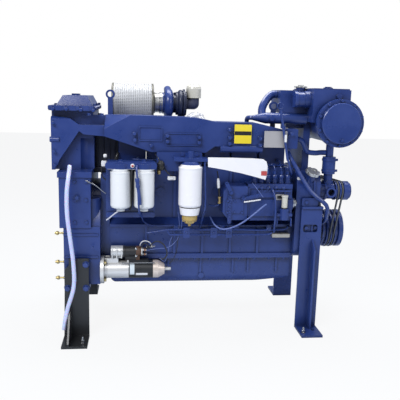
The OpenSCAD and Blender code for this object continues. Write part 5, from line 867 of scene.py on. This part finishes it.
turned("speed_plug_cap", [(-527, -272, 930)], UP, [(0, 0), (8, 0), (9, 3), (9, 12), (6, 16), (0, 17)],
       white_plastic)
run("speed_wire", [(-527, -272, 932), (-536, -270, 905), (-546, -268, 868), (-540, -270, 832),
                   (-520, -270, 812), (-514, -266, 796)], 3.2, cable_black)
turned("speed_wire_end", [(-515, -268, 786)], UP, [(0, 0), (6, 0), (7, 3), (7, 12), (0, 14)],
       white_plastic)
run("speed_lead", [(-622, -296, 815), (-572, -293, 790), (-540, -290, 762), (-524, -286, 750)], 2.6,
    ground_steel)
plate("filler_plug", (462, -258, 824), 22, 13, 10, white_plastic, 3)

# Intake neck bands.
# A zinc band and a steel clamp drawn round the neck between the air filter and
# the turbocharger.
NECK_Y, NECK_Z, NECK_RADIUS = 150, 1195, 56
turned("neck_bands", [(-287, NECK_Y, NECK_Z)], FRONT,
       [(NECK_RADIUS, 0), (58.5, 1), (58.5, 15), (NECK_RADIUS, 16)], olive)
turned("neck_clamp", [(-246, NECK_Y, NECK_Z)], FRONT,
       [(NECK_RADIUS, 0), (58.5, 1), (58.5, 11), (NECK_RADIUS, 12)], ground_steel)

# Crankcase breather box.
# A near-black cast box with a ribbed side, a screwed lid and a hose, standing in the shade between the rear
# head and the charge cooler. Its near-black blue is painted shade: a dark piece put where that corner lies
# in shade.
LID_TOP = 1064
LID_SCREW_Y = -82
RIB_FIRST, RIB_PITCH, RIB_WIDE, RIB_COUNT = -578, 30, 7, 5


def block(name, low, high, finish, round_by):
    """A block with rounded edges between two corners, in millimetres."""
    shape = bmesh.new()
    size = [(end - start) / 1000 for start, end in zip(low, high)]
    middle = [(start + end) / 2000 for start, end in zip(low, high)]
    bmesh.ops.create_cube(shape, size=1, matrix=Matrix.Translation(middle) @ Matrix.Diagonal((*size, 1)))
    bmesh.ops.bevel(shape, geom=shape.edges[:], offset=round_by / 1000, affect="EDGES", segments=3,
                    profile=0.5, material=-1)
    finished(name, shape, finish)


# Painted shade: the engine's blue darkened almost to black, for a box that stands for shade.
painted_shade_enamel = layered("painted_shade_enamel", (0.005, 0.009, 0.035), (0.015, 0.024, 0.075), 0.5, bump=0.4,
                       patch=12)
block("breather_box", (-596, -84, 852), (-440, -10, 1052), painted_shade_enamel, 14)
block("breather_lid", (-604, -92, 1048), (-432, -4, LID_TOP), painted_shade_enamel, 5)
block("breather_foot", (-604, -90, 828), (-520, -2, 858), painted_shade_enamel, 6)
for number in range(RIB_COUNT):
    rib = RIB_FIRST + RIB_PITCH * number
    block(f"breather_rib_{number}", (rib, -90, 872), (rib + RIB_WIDE, -80, 1040), painted_shade_enamel, 2)
hex_heads("breather_screws", [(x, LID_SCREW_Y, LID_TOP) for x in (-590, -518, -446)], UP, 9, painted_shade_enamel)
run("breather_pipe", [(-470, -84, 930), (-470, -120, 930), (-476, -160, 915), (-486, -200, 880),
                      (-492, -226, 846)], 9, cable_black, 16)

# Starter trim.
# The through bolt along the top, the second terminal stud and the pale and
# dark wires that loop over the solenoid, and ribs on its cast cap.
CAP_RIB_FIRST, CAP_RIB_PITCH, CAP_RIB_WIDE, CAP_RIB_COUNT = -498, 24, 6, 3
run("starter_through_bolt", [(-448, -266, 381), (-372, -266, 381), (-300, -266, 381), (-276, -264, 380)],
    2.6, ground_steel)
turned("solenoid_stud", [(-319, -222, 452)], (1, 0, 0.15),
       [(0, 0), (8, 0), (8, 6), (4.5, 7), (4.5, 24), (7, 25), (7, 34), (3.5, 35), (3.5, 46), (0, 46)],
       ground_steel)
run("solenoid_loop", [(-352, -232, 462), (-346, -238, 482), (-328, -242, 492), (-306, -240, 486),
                      (-292, -236, 470), (-290, -230, 458)], 2.6, white_plastic)
run("solenoid_loop_dark", [(-344, -240, 458), (-336, -246, 476), (-320, -248, 480), (-306, -246, 462),
                           (-304, -240, 446)], 3, cable_black)
for number in range(CAP_RIB_COUNT):
    rib = CAP_RIB_FIRST + CAP_RIB_PITCH * number
    block(f"solenoid_rib_{number}", (rib, -262, 404), (rib + CAP_RIB_WIDE, -226, 452), starter_coat, 2)
